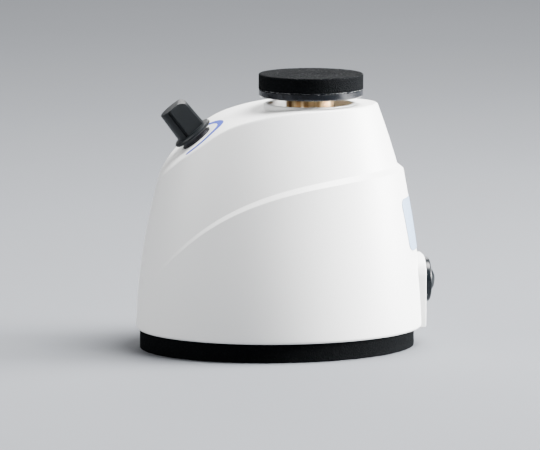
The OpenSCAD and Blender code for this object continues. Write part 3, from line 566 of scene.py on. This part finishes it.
class HousingRule:
    """The housing's shape in millimetres, for the columns of a grid that is bent round it."""

    def __init__(self, nodes, size, turn):
        self.nodes, self.keep, self.size = nodes, nodes.keep, size
        self.sin, self.cos = self.keep(turn.sin()), self.keep(turn.cos())
        self.ramp_tree = ramp_tree()
        self.rim = size["Rim height"]
        self.top = self.rim + size["Body height"]
        self.front = LINE_START - size["Half length"]
        self.fade = 2 * size["Half length"] - LINE_REST
        self.drop = CEILING_DROP * size["Wall"]
        self.bore = size["Collar radius"]
        self.ring = self.bore + size["Collar wall"]

    def ramp(self, y):
        given = {name: self.size[name] for name in RAMP_INPUTS}
        node = self.nodes.add("GeometryNodeGroup", {"node_tree": self.ramp_tree}, {"Place": y, **given})
        return self.nodes.num(node)

    def ceiling(self, y):
        return self.ramp(y) - self.drop

    def share(self, z):
        return ((z - self.rim).at_least(0.0) / self.size["Body height"]) ** self.size["Lean power"]

    def line(self, y):
        s = self.size
        return self.rim + s["Line height"] - s["Line drop"] * ((self.front - y) / s["Line run"]).exp()

    def along(self, z):
        return (self.size["Lean"] * self.share(z) - self.size["Half length"]) * self.cos

    def meet(self, surface, z):
        """Height where a column meets a surface given by its place along the housing."""
        for _ in range(ROUNDS):
            z = self.keep(surface(self.along(z)))
        return z

    def wall(self, z, out):
        """Point of the wall, moved out by a distance."""
        s, share = self.size, self.share(z)
        return ((s["Half width"] + out - s["Side lean"] * share) * self.sin,
                -(s["Half length"] + out - s["Lean"] * share) * self.cos, z)

    def round_axis(self, radius):
        """Place at a distance from the collar's axis."""
        return radius * self.sin, self.size["Axis offset"] - radius * self.cos

    def wall_rows(self, share, low_edge):
        """The wall, from its rounded rim over the step at the side line to the edge."""
        line = self.meet(self.line, self.rim + 0.5 * self.size["Line height"])
        growth = ((self.along(line) - self.front) / self.fade).clamped() ** LINE_EASE
        depth = self.keep(self.size["Line step"] * growth)
        z = self.rim + RIM_BAND * share["rim"]
        z = mix(z, line, share["lower"].smooth(0.0, 1.0))
        z = mix(z, line + self.size["Line bevel"], share["step"])
        z = self.keep(mix(z, low_edge, share["upper"].smooth(0.0, 1.0)))
        swell = ((z - self.rim) / (line - self.rim)).clamped() ** SWELL_POWER
        rim_round = (1 - (z - self.rim) / RIM_BAND).clamped() ** 2.0 * RIM_ROUND
        return self.wall(z, depth * swell * (1 - share["step"]) - rim_round)

    def edge_rows(self, share, edge, low_edge):
        """The rounded edge from the wall to the ramp, and its end on the ramp."""
        low, corner, lip = self.wall(low_edge, 0.0), self.wall(edge, 0.0), self.round_axis(self.ring)
        across, along = lip[0] - corner[0], lip[1] - corner[1]
        step = self.size["Edge radius"] / (across * across + along * along).root()
        back = [mix(corner[i], lip[i], step) for i in range(2)]
        back.append(self.keep(self.ramp(back[1])))
        rest = 1 - share
        return [a * rest * rest + 2 * b * share * rest + c * share * share
                for a, b, c in zip(low, corner, back)], back

    def top_rows(self, share, back):
        """The ramp and the top, from the edge to the lip."""
        lip, spread = self.round_axis(self.ring), share.smooth(0.0, 1.0)
        x, y = (mix(back[i], lip[i], spread) for i in range(2))
        return x, y, self.keep(self.ramp(y))

    def lip_rows(self, row):
        """The lip, row by row: a small cove, the outside, its rounded top and the bore."""
        top = self.size["Collar top"]
        radius, height = self.ring, self.keep(self.ramp(self.round_axis(self.ring)[1]))
        rise = top - height
        turned = (0.7 * rise).at_most(LIP_ROUND)
        bow = arc(-1, -1, 1, 0, 90, 3)
        outline = [(self.ring + LIP_COVE, height), (self.ring, height + LIP_COVE * rise)]
        outline += [(self.ring + LIP_ROUND * out, top + turned * up) for out, up in bow]
        outline += [(self.bore - LIP_ROUND * out, top + LIP_ROUND * up) for out, up in reversed(bow)]
        ceiling = self.keep(self.ceiling(self.round_axis(self.bore)[1]))
        outline += [(self.bore, mix(top - LIP_ROUND, ceiling, part)) for part in (0.33, 0.66, 1.0)]
        for k, (out, up) in enumerate(outline):
            part = (row - k).clamped()
            radius = self.keep(mix(radius, out, part))
            height = self.keep(mix(height, up, part))
        return (*self.round_axis(radius), height)

    def inner_rows(self, share):
        """The ceiling from the bore to the shoulder, and the inside of the wall down to the rim."""
        wall = self.size["Wall"]
        shoulder = self.meet(lambda y: self.ceiling(y + wall * self.cos), self.top)
        hole, inner = self.round_axis(self.bore), self.wall(shoulder, -wall)
        x, y = (mix(hole[i], inner[i], share["ceiling"]) for i in range(2))
        ceiling = (x, y, mix(self.ceiling(y), shoulder, share["ceiling"]))
        return ceiling, self.wall(mix(shoulder, self.rim, share["inside"]), -wall)


def open_tree(name, numbers, takes_mesh=False):
    """A Geometry Nodes tree with named inputs: its nodes, its input node and the identifiers."""
    tree = bpy.data.node_groups.new(name, "GeometryNodeTree")
    if takes_mesh:
        add_socket(tree, "Geometry", "Geometry")
    keys = {}
    for label, value in numbers.items():
        socket = add_socket(tree, label)
        socket.default_value = value
        keys[label] = socket.identifier
    keys["Material"] = add_socket(tree, "Material", "Material").identifier
    add_socket(tree, "Geometry", "Geometry", "OUTPUT")
    nodes = Nodes(tree)
    return nodes, nodes.add("NodeGroupInput"), keys


def close_tree(nodes, given, geometry):
    """Ends a tree with a real mesh in the material that is given."""
    real = nodes.add("GeometryNodeRealizeInstances", inputs={0: geometry})
    painted = nodes.add("GeometryNodeSetMaterial", inputs={
        "Geometry": real.outputs[0], "Material": given.outputs["Material"]})
    nodes.add("NodeGroupOutput", inputs={"Geometry": painted.outputs[0]})


def through_tree(thing, nodes, keys, values):
    """Puts an object through a tree, with its named inputs set."""
    modifier = thing.modifiers.new(nodes.tree.name, "NODES")
    modifier.node_group = nodes.tree
    for label, value in values.items():
        modifier[keys[label]] = value


def housing_tree():
    """A tree that bends a grid round the housing: up the wall, over the ramp and lip, back inside."""
    nodes, given, keys = open_tree("housing_shell", HOUSING_INPUTS)
    size = {name: nodes.num(given, name) for name in HOUSING_INPUTS}
    total = sum(ROWS.values())
    grid = nodes.add("GeometryNodeMeshGrid", inputs={
        "Size X": 1.0, "Size Y": 1.0, "Vertices X": COLUMNS + 1, "Vertices Y": total + 1})
    nodes.flow = grid.outputs[0]
    u, v, _ = nodes.split(nodes.add("GeometryNodeInputPosition").outputs[0])
    rule = HousingRule(nodes, size, (u + 0.5) * TURN)
    row = nodes.keep(nodes.math("ROUND", (v + 0.5) * total))
    first, share, past, start = {}, {}, {}, 0
    for name, count in ROWS.items():
        first[name] = start
        share[name] = nodes.keep(((row - start) / count).clamped())
        past[name] = row > start + 0.5
        start += count

    edge = rule.meet(rule.ramp, rule.top)
    low_edge = edge - size["Edge radius"]
    point = rule.wall_rows(share, low_edge)
    rounded, back = rule.edge_rows(share["edge"], edge, low_edge)
    top, lip = rule.top_rows(share["top"], back), rule.lip_rows(row - first["lip"])
    ceiling, inside = rule.inner_rows(share)
    sections = {"edge": rounded, "top": top, "lip": lip, "ceiling": ceiling, "inside": inside}
    for name, section in sections.items():
        point = [nodes.keep(mix(a, b, past[name])) for a, b in zip(point, section)]
    # The last row closes the rim on the first
    last = row > total - 0.5
    point = [mix(a, b, last) * MM for a, b in zip(point, rule.wall(rule.rim, -RIM_ROUND))]
    where = nodes.join(*point)
    bent = nodes.add("GeometryNodeSetPosition", inputs={"Geometry": nodes.flow, "Position": where})
    merged = nodes.add("GeometryNodeMergeByDistance", inputs={"Geometry": bent.outputs[0], "Distance": MERGE})
    close_tree(nodes, given, merged.outputs[0])
    return nodes, keys


def boss_outline(half, height, corner):
    """Points of the arched boss, standing on the rim, anticlockwise."""
    right = arc(half - corner, height - corner, corner, 0, 90, 16)
    left = arc(corner - half, height - corner, corner, 90, 180, 16)
    return [(half, 0.0), *right, *left, (-half, 0.0)]


def extruded(name, outline, near, far, chamfer=0.0):
    """An outline in X and Z, extruded along Y from near to far, with its far corner rounded."""
    cx = sum(p[0] for p in outline) / len(outline)
    cz = sum(p[1] for p in outline) / len(outline)
    size = max(abs(p[0] - cx) for p in outline)
    bend = arc(far - chamfer, chamfer, chamfer, -90, 0, 3) if chamfer else [(far, 0.0)]
    rows = [[(cx + (x - cx) * (1 - inset / size), y, cz + (z - cz) * (1 - inset / size))
             for x, z in outline] for y, inset in [(near, 0.0), *bend]]
    mesh = grid_mesh(name, rows, closed=True)
    with edited(mesh) as work:
        bmesh.ops.holes_fill(work, edges=[e for e in work.edges if e.is_boundary])
        bmesh.ops.recalc_face_normals(work, faces=work.faces)
    return mesh


class MixerSizes(bpy.types.PropertyGroup):
    """Sizes, in metres, and colours of what is dressed."""

    plastic: bpy.props.FloatVectorProperty(
        name="Housing colour", description="Colour of the moulded housing",
        subtype="COLOR", size=3, default=(0.8, 0.8, 0.79), min=0, max=1)
    foam: bpy.props.FloatVectorProperty(
        name="Foam colour", description="Colour of the foot and the pad",
        subtype="COLOR", size=3, default=(0.0014, 0.0018, 0.0022), min=0, max=1)
    knob: bpy.props.FloatVectorProperty(
        name="Knob colour", description="Colour of the knob and the switch",
        subtype="COLOR", size=3, default=(0.0018, 0.003, 0.004), min=0, max=1)
    ink: bpy.props.FloatVectorProperty(
        name="Scale colour", description="Colour of the printed speed scale",
        subtype="COLOR", size=3, default=(0.006, 0.03, 0.34), min=0, max=1)
    film: bpy.props.FloatVectorProperty(
        name="Label colour", description="Colour of the blank rear label",
        subtype="COLOR", size=3, default=(0.25, 0.35, 0.50), min=0, max=1)
    boss_round: bpy.props.FloatProperty(
        name="Boss corner", description="Corner radius of the rear boss",
        unit="LENGTH", default=0.0065, min=0.003, max=0.008)
    scale_radius: bpy.props.FloatProperty(
        name="Scale radius", description="Radius of the printed speed scale",
        unit="LENGTH", default=0.0107, min=0.008, max=0.012)
    scale_thin: bpy.props.FloatProperty(
        name="Scale start", description="Width of the scale at its slow end",
        unit="LENGTH", default=0.0023, min=0.0002, max=0.003)
    scale_thick: bpy.props.FloatProperty(
        name="Scale end", description="Width of the scale at its fast end",
        unit="LENGTH", default=0.002, min=0.0006, max=0.003)
    label_round: bpy.props.FloatProperty(
        name="Label corner", description="Corner radius of the rear label",
        unit="LENGTH", default=0.0022, min=0.0005, max=0.004)
    foam_cell: bpy.props.FloatProperty(
        name="Foam cell", description="Size of the foam's cells",
        unit="LENGTH", default=0.00045, min=0.0002, max=0.0015)
    foam_relief: bpy.props.FloatProperty(
        name="Foam relief", description="Depth of the foam's relief",
        unit="LENGTH", default=0.00009, min=0, max=0.0003)
    distance: bpy.props.FloatProperty(
        name="Camera distance", description="Distance of the camera",
        unit="LENGTH", default=1.25, min=0.5, max=1.6)
    azimuth: bpy.props.FloatProperty(
        name="Camera azimuth", description="Angle round the object from its front",
        subtype="ANGLE", default=math.radians(81.9), min=0, max=TURN)
    elevation: bpy.props.FloatProperty(
        name="Camera elevation", description="Angle above the horizon",
        subtype="ANGLE", default=math.radians(8.4), min=0, max=math.radians(60))


def sizes():
    return bpy.context.scene.mixer_sizes


class MIXER_OT_housing(bpy.types.Operator):
    """Moulded housing with its rear boss and openings"""

    bl_idname = "mixer.housing"
    bl_label = "Housing"

    def shell(self, material):
        """A working object with the bent grid, at the sizes of the frame."""
        nodes, keys = housing_tree()
        shell = new_object("housing_work", bpy.data.meshes.new("housing_work"))
        through_tree(shell, nodes, keys, {
            "Material": material, "Half width": SHELL_HIGH.x, "Half length": -SHELL_LOW.y,
            "Rim height": SHELL_LOW.z, "Axis offset": DRIVE_POINT.y,
            "Collar top": place("platform_plate")[0].z - PLATE_GAP})
        return shell

    def execute(self, context):
        white = housing_plastic(tuple(sizes().plastic))
        shell = self.shell(white)
        low, high = place("switch_body")
        face, rim, corner = high.y - BEZEL_DEPTH, SHELL_LOW.z, sizes().boss_round / MM
        boss = [(x, rim + z) for x, z in boss_outline(BOSS_HALF, BOSS_HEIGHT, corner)]
        arch = boss_outline(POCKET_HALF, POCKET_HEIGHT, corner - BOSS_HALF + POCKET_HALF)
        pocket = [(x, rim - POCKET_LOW + z) for x, z in arch]
        barrel = Matrix.Translation((0, face, (low.z + high.z) / 2)) @ Z_TO_Y
        inlet = inlet_frame()
        plug = [(0.0, -5.5), (INLET_BOSS, -5.5), (INLET_BOSS, -0.25), (INLET_BOSS - 0.08, -0.07),
                (INLET_BOSS - 0.25, 0.0), (0.0, 0.0)]
        tools = [(extruded("boss", boss, face - BOSS_DEPTH, face, BOSS_EDGE), "UNION"),
                 (lathe("inlet_boss", plug, 64, inlet), "UNION"),
                 (extruded("pocket", pocket, face - POCKET_DEPTH, face - POCKET_WALL), "DIFFERENCE")]
        holes = (("switch_hole", SWITCH_HOLE, barrel), ("knob_hole", KNOB_HOLE, knob_frame()),
                 ("inlet_hole", INLET_HOLE, inlet))
        for name, radius, where in holes:
            outline = [(0.0, -8.0), (radius, -8.0), (radius, 6.0), (0.0, 6.0)]
            tools.append((lathe(name, outline, 64, where), "DIFFERENCE"))
        cutters = [cut(shell, tool, operation) for tool, operation in tools]
        mesh = evaluated(shell, "housing_shell", *cutters)
        piece = mesh_object("housing_shell", mesh, white, "base", 32)
        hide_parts("housing")
        return {"FINISHED"}


def wrapped(name, rows, frame_at, start, lift, thickness):
    """Rows of flat points in a local frame, dropped along its -Z onto the housing and thickened."""
    shell = bpy.data.objects["housing_shell"].data
    tree = BVHTree.FromPolygons([v.co.copy() for v in shell.vertices],
                                [tuple(p.vertices) for p in shell.polygons])
    down = -frame_at.to_3x3().col[2].normalized()
    under, over = [], []
    for x, y in (point for row in rows for point in row):
        hit, normal, _, _ = tree.ray_cast((frame_at @ Vector((x, y, start))) * MM, down)
        if hit is None:
            raise RuntimeError(f"{name} misses the housing")
        if normal.dot(down) > 0:
            normal = -normal
        under.append(hit / MM + normal * lift)
        over.append(hit / MM + normal * (lift + thickness))
    long, wide = len(rows), len(rows[0])
    shift = long * wide
    faces = []
    for i in range(long - 1):
        for k in range(wide - 1):
            a = i * wide + k
            around = (a, a + 1, a + wide + 1, a + wide)
            faces += [around[::-1], tuple(corner + shift for corner in around)]
    edge = [*range(wide), *range(2 * wide - 1, shift, wide)]
    edge += [*range(shift - 2, shift - wide - 1, -1), *range(shift - 2 * wide, 0, -wide)]
    faces += [(a, b, b + shift, a + shift) for a, b in zip(edge, edge[1:] + edge[:1])]
    mesh = bpy.data.meshes.new(name)
    mesh.from_pydata([p * MM for p in under + over], [], faces)
    return tidy(mesh)


class MIXER_OT_printing(bpy.types.Operator):
    """Tapered speed scale on the ramp and the blank label at the rear"""

    bl_idname = "mixer.printing"
    bl_label = "Printing"

    def scale_rows(self, radius, thin, thick, steps=140):
        """Rows across the scale, which grows from one width to the other and has round ends."""
        start, end = SCALE_TURN
        rows = []
        for i in range(steps + 1):
            share = i / steps
            angle = start + (end - start) * share
            width = thin + (thick - thin) * share ** 0.8
            close = min(1.0, min(share, 1 - share) * (end - start) * radius / (0.5 * width))
            width *= math.sqrt(max(0.04, 1 - (1 - close) ** 2))
            rows.append([(-math.sin(angle) * r, math.cos(angle) * r - SCALE_DROP)
                         for r in (radius + width * (k / 4 - 0.5) for k in range(5))])
        return rows

    def label_rows(self, half, tall, corner):
        """Rows across a label with rounded corners."""
        bends = [tall - corner + corner * math.sin(a * math.pi / 16) for a in range(9)]
        marks = {-tall + tall * i / 10 for i in range(21)} | {sign * z for z in bends for sign in (-1, 1)}
        rows = []
        for y in sorted(marks):
            over = max(0.0, abs(y) - (tall - corner))
            width = half - corner + math.sqrt(max(0.0, corner * corner - over * over))
            rows.append([(width * (k / 15 - 1), y) for k in range(31)])
        return rows

    def execute(self, context):
        s = sizes()
        rows = self.scale_rows(s.scale_radius / MM, s.scale_thin / MM, s.scale_thick / MM)
        mesh = wrapped("speed_scale", rows, knob_frame(), 9.0, 0.01, 0.04)
        mesh_object("speed_scale", mesh, printed_ink(tuple(s.ink)), "base")

        low, high = place("rear_label")
        rows = self.label_rows(high.x - 0.05, (high.z - low.z) / 2, s.label_round / MM)
        behind = Matrix.Translation((0, 60, (low.z + high.z) / 2)) @ Matrix(
            ((-1, 0, 0, 0), (0, 0, 1, 0), (0, 1, 0, 0), (0, 0, 0, 1)))
        mesh = wrapped("rear_label_film", rows, behind, 0.0, 0.03, 0.15)
        film = label_film(tuple(s.film), low.z, high.z)
        piece = mesh_object("rear_label_film", mesh, film, "base")
        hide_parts("rear_label")
        return {"FINISHED"}


def foam_tree():
    """A tree that roughens a cut foam surface along its normals."""
    nodes, given, keys = open_tree("foam_skin", {"Cell": 0.45, "Relief": 0.09}, takes_mesh=True)
    cell, relief = nodes.num(given, "Cell"), nodes.num(given, "Relief")
    where = nodes.add("GeometryNodeInputPosition").outputs[0]
    scale = 1 / (cell * MM)
    coarse = nodes.add("ShaderNodeTexVoronoi", inputs={"Vector": where, "Scale": scale})
    fine = nodes.add("ShaderNodeTexNoise", inputs={"Vector": where, "Scale": scale * 1.7, "Detail": 2.0})
    height = nodes.num(fine) - 0.55 - 0.36 * nodes.num(coarse).smooth(0.3, 0.9)
    normal = nodes.add("GeometryNodeInputNormal").outputs[0]
    distance = height * relief * (2 * MM)
    move = nodes.add("ShaderNodeVectorMath", {"operation": "SCALE"}, {0: normal, "Scale": distance})
    moved = nodes.add("GeometryNodeSetPosition", inputs={
        "Geometry": given.outputs["Geometry"], "Offset": move.outputs[0]})
    close_tree(nodes, given, moved.outputs[0])
    return nodes, keys


def foam_box(node):
    """Corners of a foam CAD node, drawn in by the depth of the relief."""
    low, high = place(node)
    inset = Vector((FOAM_INSET,) * 3)
    return low + inset, high - inset


class MIXER_OT_foam(bpy.types.Operator):
    """Foam foot and foam pad, with the relief of cut foam"""

    bl_idname = "mixer.foam"
    bl_label = "Foam"

    def roughened(self, name, mesh, material, body, node):
        """A finished piece: a mesh put through the foam tree, in place of a CAD node."""
        thing = new_object(name, mesh)
        nodes, keys = foam_tree()
        through_tree(thing, nodes, keys, {
            "Cell": sizes().foam_cell / MM, "Relief": sizes().foam_relief / MM, "Material": material})
        piece = mesh_object(name, evaluated(thing, name), material, body, 60)
        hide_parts(node)
        return piece

    def pad(self):
        """The round pad, with a rounded top edge."""
        low, high = foam_box("platform_pad")
        radius = (high.y - low.y) / 2
        outline = [(radius * i / 12, low.z) for i in range(12)]
        outline += [(radius, low.z + (high.z - low.z - FOAM_EDGE) * i / 24) for i in range(25)]
        outline += arc(radius - FOAM_EDGE, high.z - FOAM_EDGE, FOAM_EDGE, 0, 90, 4)[1:]
        outline += [(radius * i / 70, high.z) for i in range(68, -1, -1)]
        return lathe("pad_foam", outline, 260, Matrix.Translation((PAD_POINT.x, PAD_POINT.y, 0)))

    def foot(self):
        """The oval foot, with a hole under each base screw."""
        low, high = foam_box("foot_pad")
        long, wide, middle = (high.y - low.y) / 2, high.x, (high.y + low.y) / 2
        levels = [(i / 14, low.z) for i in range(14)]
        levels += [(1.0, low.z + (high.z - low.z) * i / 22) for i in range(23)]
        levels += [(i / 14, high.z) for i in range(13, -1, -1)]
        rows = [[(wide * part * sin, middle - long * part * cos, z) for sin, cos in circle(420)]
                for part, z in levels]
        foot = new_object("foot_work", tidy(grid_mesh("foot_foam", rows, closed=True)))
        screw_low, screw_high = place("base_screws")
        outline = [(0.0, -2.0), (FOOT_HOLE, -2.0), (FOOT_HOLE, high.z + 2), (0.0, high.z + 2)]
        holes = []
        for x in (screw_low.x + SCREW_HEAD, screw_high.x - SCREW_HEAD):
            for y in (screw_low.y + SCREW_HEAD, screw_high.y - SCREW_HEAD):
                holes.append(cut(foot, lathe("hole", outline, 40, Matrix.Translation((x, y, 0)))))
        return evaluated(foot, "foot_foam", *holes)

    def execute(self, context):
        black = foam(tuple(sizes().foam), place("platform_pad")[1].z)
        pad = self.roughened("pad_foam", self.pad(), black, "platform", "platform_pad")
        self.roughened("foot_foam", self.foot(), black, "base", "foot_pad")
        return {"FINISHED"}


def smooth_copy(node, material, slot):
    """A merged, smoothly shaded copy of a CAD node, which it replaces."""
    mesh = frame["nodes"][node].data.copy()
    with edited(mesh) as work:
        bmesh.ops.remove_doubles(work, verts=work.verts, dist=MERGE)
    if "custom_normal" in mesh.attributes:
        mesh.attributes.remove(mesh.attributes["custom_normal"])
    body = body_of(frame["nodes"][node])[0]
    piece = mesh_object(node + "_finished", mesh, material, body)
    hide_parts(node)


class MIXER_OT_fittings(bpy.types.Operator):
    """Hub, plate, knob, nut, switch and inlet, with their finishes"""

    bl_idname = "mixer.fittings"
    bl_label = "Fittings"

    def execute(self, context):
        black = tuple(sizes().knob)
        knob = black_plastic("knob_black", black, 0.36)
        gloss = black_plastic("switch_black", black, 0.16)
        plate = plate_metal(place("platform_plate")[1].z, PAD_POINT)
        dark = plain_metal("black_oxide", (0.02, 0.02, 0.022), (0.05, 0.05, 0.055), 0.3)
        # The hub's colour runs from dark to bright brass in stripes round its axis: painted reflection.
        brass = turned_metal("hub_brass", (0.3, 0.15, 0.06), (0.97, 0.72, 0.38), DRIVE_POINT, 0.26, 0.85)
        finishes = (
            ("platform_plate", plate, "plate_grey"),
            ("eccentric_hub", brass, "brass"),
            ("speed_knob", knob, "plastic_black"),
            ("pot_nut", dark, "black_steel"),
            ("pot_washer", dark, "black_steel"),
            ("pot_bushing", dark, "brass"),
            ("switch_body", gloss, "plastic_black"),
            ("switch_rocker", gloss, "plastic_black"),
            ("dc_inlet", knob, "plastic_black"),
        )
        for row in finishes:
            smooth_copy(*row)
        return {"FINISHED"}


class MIXER_OT_inside(bpy.types.Operator):
    """Finishes of the pieces inside"""

    bl_idname = "mixer.inside"
    bl_label = "Inside"

    def execute(self, context):
        axis = DRIVE_POINT
        finishes = {
            "steel": turned_metal("ground_steel", (0.42, 0.43, 0.45), (0.72, 0.73, 0.75), axis, 0.22),
            "zinc_steel": plain_metal("zinc_plate", (0.42, 0.43, 0.42), (0.66, 0.67, 0.64), 0.28),
            "cast_iron": matt("painted_casting", (0.02, 0.02, 0.022), (0.05, 0.05, 0.052), 0.5, 2.0, 0.05),
            "bronze": turned_metal("sintered_bronze", (0.36, 0.22, 0.1), (0.58, 0.38, 0.2), axis, 0.45),
            "brass": plain_metal("plain_brass", (0.55, 0.38, 0.16), (0.82, 0.62, 0.3), 0.25),
            "magnet": matt("ferrite", (0.06, 0.06, 0.065), (0.1, 0.1, 0.105), 0.6, 1.0, 0.02),
            "carbon": matt("carbon", (0.02, 0.02, 0.02), (0.05, 0.05, 0.05), 0.55, 0.6, 0.02),
            "rotor_steel": turned_metal("laminated_steel", (0.2, 0.2, 0.21), (0.42, 0.43, 0.45), axis, 0.35),
            "copper": plain_metal("enamelled_copper", (0.5, 0.2, 0.09), (0.78, 0.4, 0.2), 0.28, 2.0),
            "aluminium": plain_metal("extruded_aluminium", (0.6, 0.61, 0.62), (0.8, 0.81, 0.82), 0.3),
            "board_green": matt("solder_mask", (0.01, 0.12, 0.05), (0.02, 0.2, 0.09), 0.3, 2.5, 0.02),
            "capacitor_blue": matt("sleeve_blue", (0.03, 0.07, 0.2), (0.05, 0.1, 0.28), 0.3),
            "lead_red": matt("lead_red", (0.42, 0.02, 0.02), (0.55, 0.04, 0.03), 0.4),
            "lead_orange": matt("lead_orange", (0.55, 0.2, 0.02), (0.68, 0.28, 0.04), 0.4),
            "lead_yellow": matt("lead_yellow", (0.6, 0.45, 0.03), (0.72, 0.56, 0.06), 0.4),
            "lead_black": matt("lead_black", (0.01, 0.01, 0.01), (0.025, 0.025, 0.025), 0.4),
            "rubber_black": matt("rubber_black", (0.012, 0.012, 0.012), (0.03, 0.03, 0.03), 0.7, 0.8, 0.03),
            "plastic_black": black_plastic("inner_black", tuple(sizes().knob), 0.38),
        }
        for row in frame["record"]["subparts"]:
            node = frame["nodes"][row["node"]]
            material = finishes.get(row["material_slot"])
            if material is None or node.hide_render:
                continue
            for socket in node.material_slots:
                socket.material = material
            if not node.material_slots:
                node.data.materials.append(material)
        return {"FINISHED"}


class MIXER_OT_studio(bpy.types.Operator):
    """Pale floor, soft lights and the camera"""

    bl_idname = "mixer.studio"
    bl_label = "Studio"

    def direction(self, azimuth, elevation):
        """Direction to a place seen from the object; the azimuth turns from its front."""
        level = math.cos(elevation)
        return Vector((math.sin(azimuth) * level, -math.cos(azimuth) * level, math.sin(elevation)))

    def aim(self, thing, target, away, distance):
        """Places a light or camera away from its target, facing it."""
        thing.location = target + away * distance
        thing.rotation_euler = (-away).to_track_quat("-Z", "Y").to_euler()

    def light(self, name, azimuth, elevation, reach, size, power, spread):
        """A softbox; its azimuth, in degrees, turns from the camera to the camera's right."""
        lamp = bpy.data.lights.new(name, "AREA")
        lamp.shape = "RECTANGLE"
        lamp.size, lamp.size_y = size
        lamp.energy = power
        lamp.spread = math.radians(spread)
        away = self.direction(sizes().azimuth + math.radians(azimuth), math.radians(elevation))
        self.aim(new_object(name, lamp), Vector((0, 0, 0.04)), away, reach)

    def floor(self):
        """A round floor that bends up into a wall all round, in metres."""
        level, bend, top = 1.7, 0.8, 3.0
        profile = [(0.01, 0.0), *arc(level, bend, bend, -90, 0, 16), (level + bend, top)]
        turns = circle(96, closing=1)
        rows = [[Vector((r * cos, r * sin, z)) / MM for sin, cos in turns] for r, z in profile]
        mesh = grid_mesh("floor", rows)
        f = Finish("floor_pale", Specular_IOR_Level=0.05)
        pale = f.blend(f.noise(120.0, 2.0), (0.146, 0.153, 0.165), (0.152, 0.159, 0.171))
        f.set(Base_Color=pale, Roughness=0.75)
        mesh.materials.append(f.material)
        mesh.polygons.foreach_set("use_smooth", [True] * len(mesh.polygons))
        new_object("floor", mesh)

    def camera(self):
        """The camera, a little beside the object's middle."""
        s = sizes()
        cam = bpy.data.cameras.new("camera")
        cam.sensor_width = 36
        cam.lens = 266.7
        right = Vector((math.cos(s.azimuth), math.sin(s.azimuth), 0))
        target = Vector((0, 0, 0.03792)) - right * 0.00303
        thing = new_object("camera", cam)
        self.aim(thing, target, self.direction(s.azimuth, s.elevation), s.distance)
        bpy.context.scene.camera = thing

    def execute(self, context):
        self.floor()
        world = bpy.data.worlds.new("studio")
        world.use_nodes = True
        background = world.node_tree.nodes["Background"]
        background.inputs["Color"].default_value = (0.9, 0.94, 1.0, 1)
        background.inputs["Strength"].default_value = 0.04
        bpy.context.scene.world = world
        for lamp in (("key", 93, 13, 1.1, (0.6, 0.4), 17, 70), ("fill", -72, 25, 1.1, (0.6, 0.6), 11, 180),
                     ("high", 88, 66, 1.1, (0.6, 0.6), 70, 180), ("rear", 180, 30, 1.8, (1.2, 0.8), 24, 180)):
            self.light(*lamp)
        self.camera()
        return {"FINISHED"}


class MIXER_PT_panel(bpy.types.Panel):
    """Lists the steps in the sidebar"""

    bl_idname = "MIXER_PT_panel"
    bl_label = "Vortex Mixer"
    bl_space_type = "VIEW_3D"
    bl_region_type = "UI"
    bl_category = "Vortex Mixer"

    def draw(self, context):
        layout = self.layout
        for name in MixerSizes.__annotations__:
            layout.prop(context.scene.mixer_sizes, name)
        for step in OPERATORS:
            layout.operator(step.bl_idname)


OPERATORS = (MIXER_OT_studio, MIXER_OT_housing, MIXER_OT_printing, MIXER_OT_foam, MIXER_OT_fittings,
             MIXER_OT_inside)
CLASSES = (MixerSizes, *OPERATORS, MIXER_PT_panel)


def register():
    for cls in CLASSES:
        bpy.utils.register_class(cls)
    bpy.types.Scene.mixer_sizes = bpy.props.PointerProperty(type=MixerSizes)


def unregister():
    del bpy.types.Scene.mixer_sizes
    for cls in reversed(CLASSES):
        bpy.utils.unregister_class(cls)


def main():
    register()
    bpy.ops.mixer.studio()
    bpy.ops.mixer.housing()
    bpy.ops.mixer.printing()
    bpy.ops.mixer.foam()
    bpy.ops.mixer.fittings()
    bpy.ops.mixer.inside()


if __name__ == "__main__":
    main()
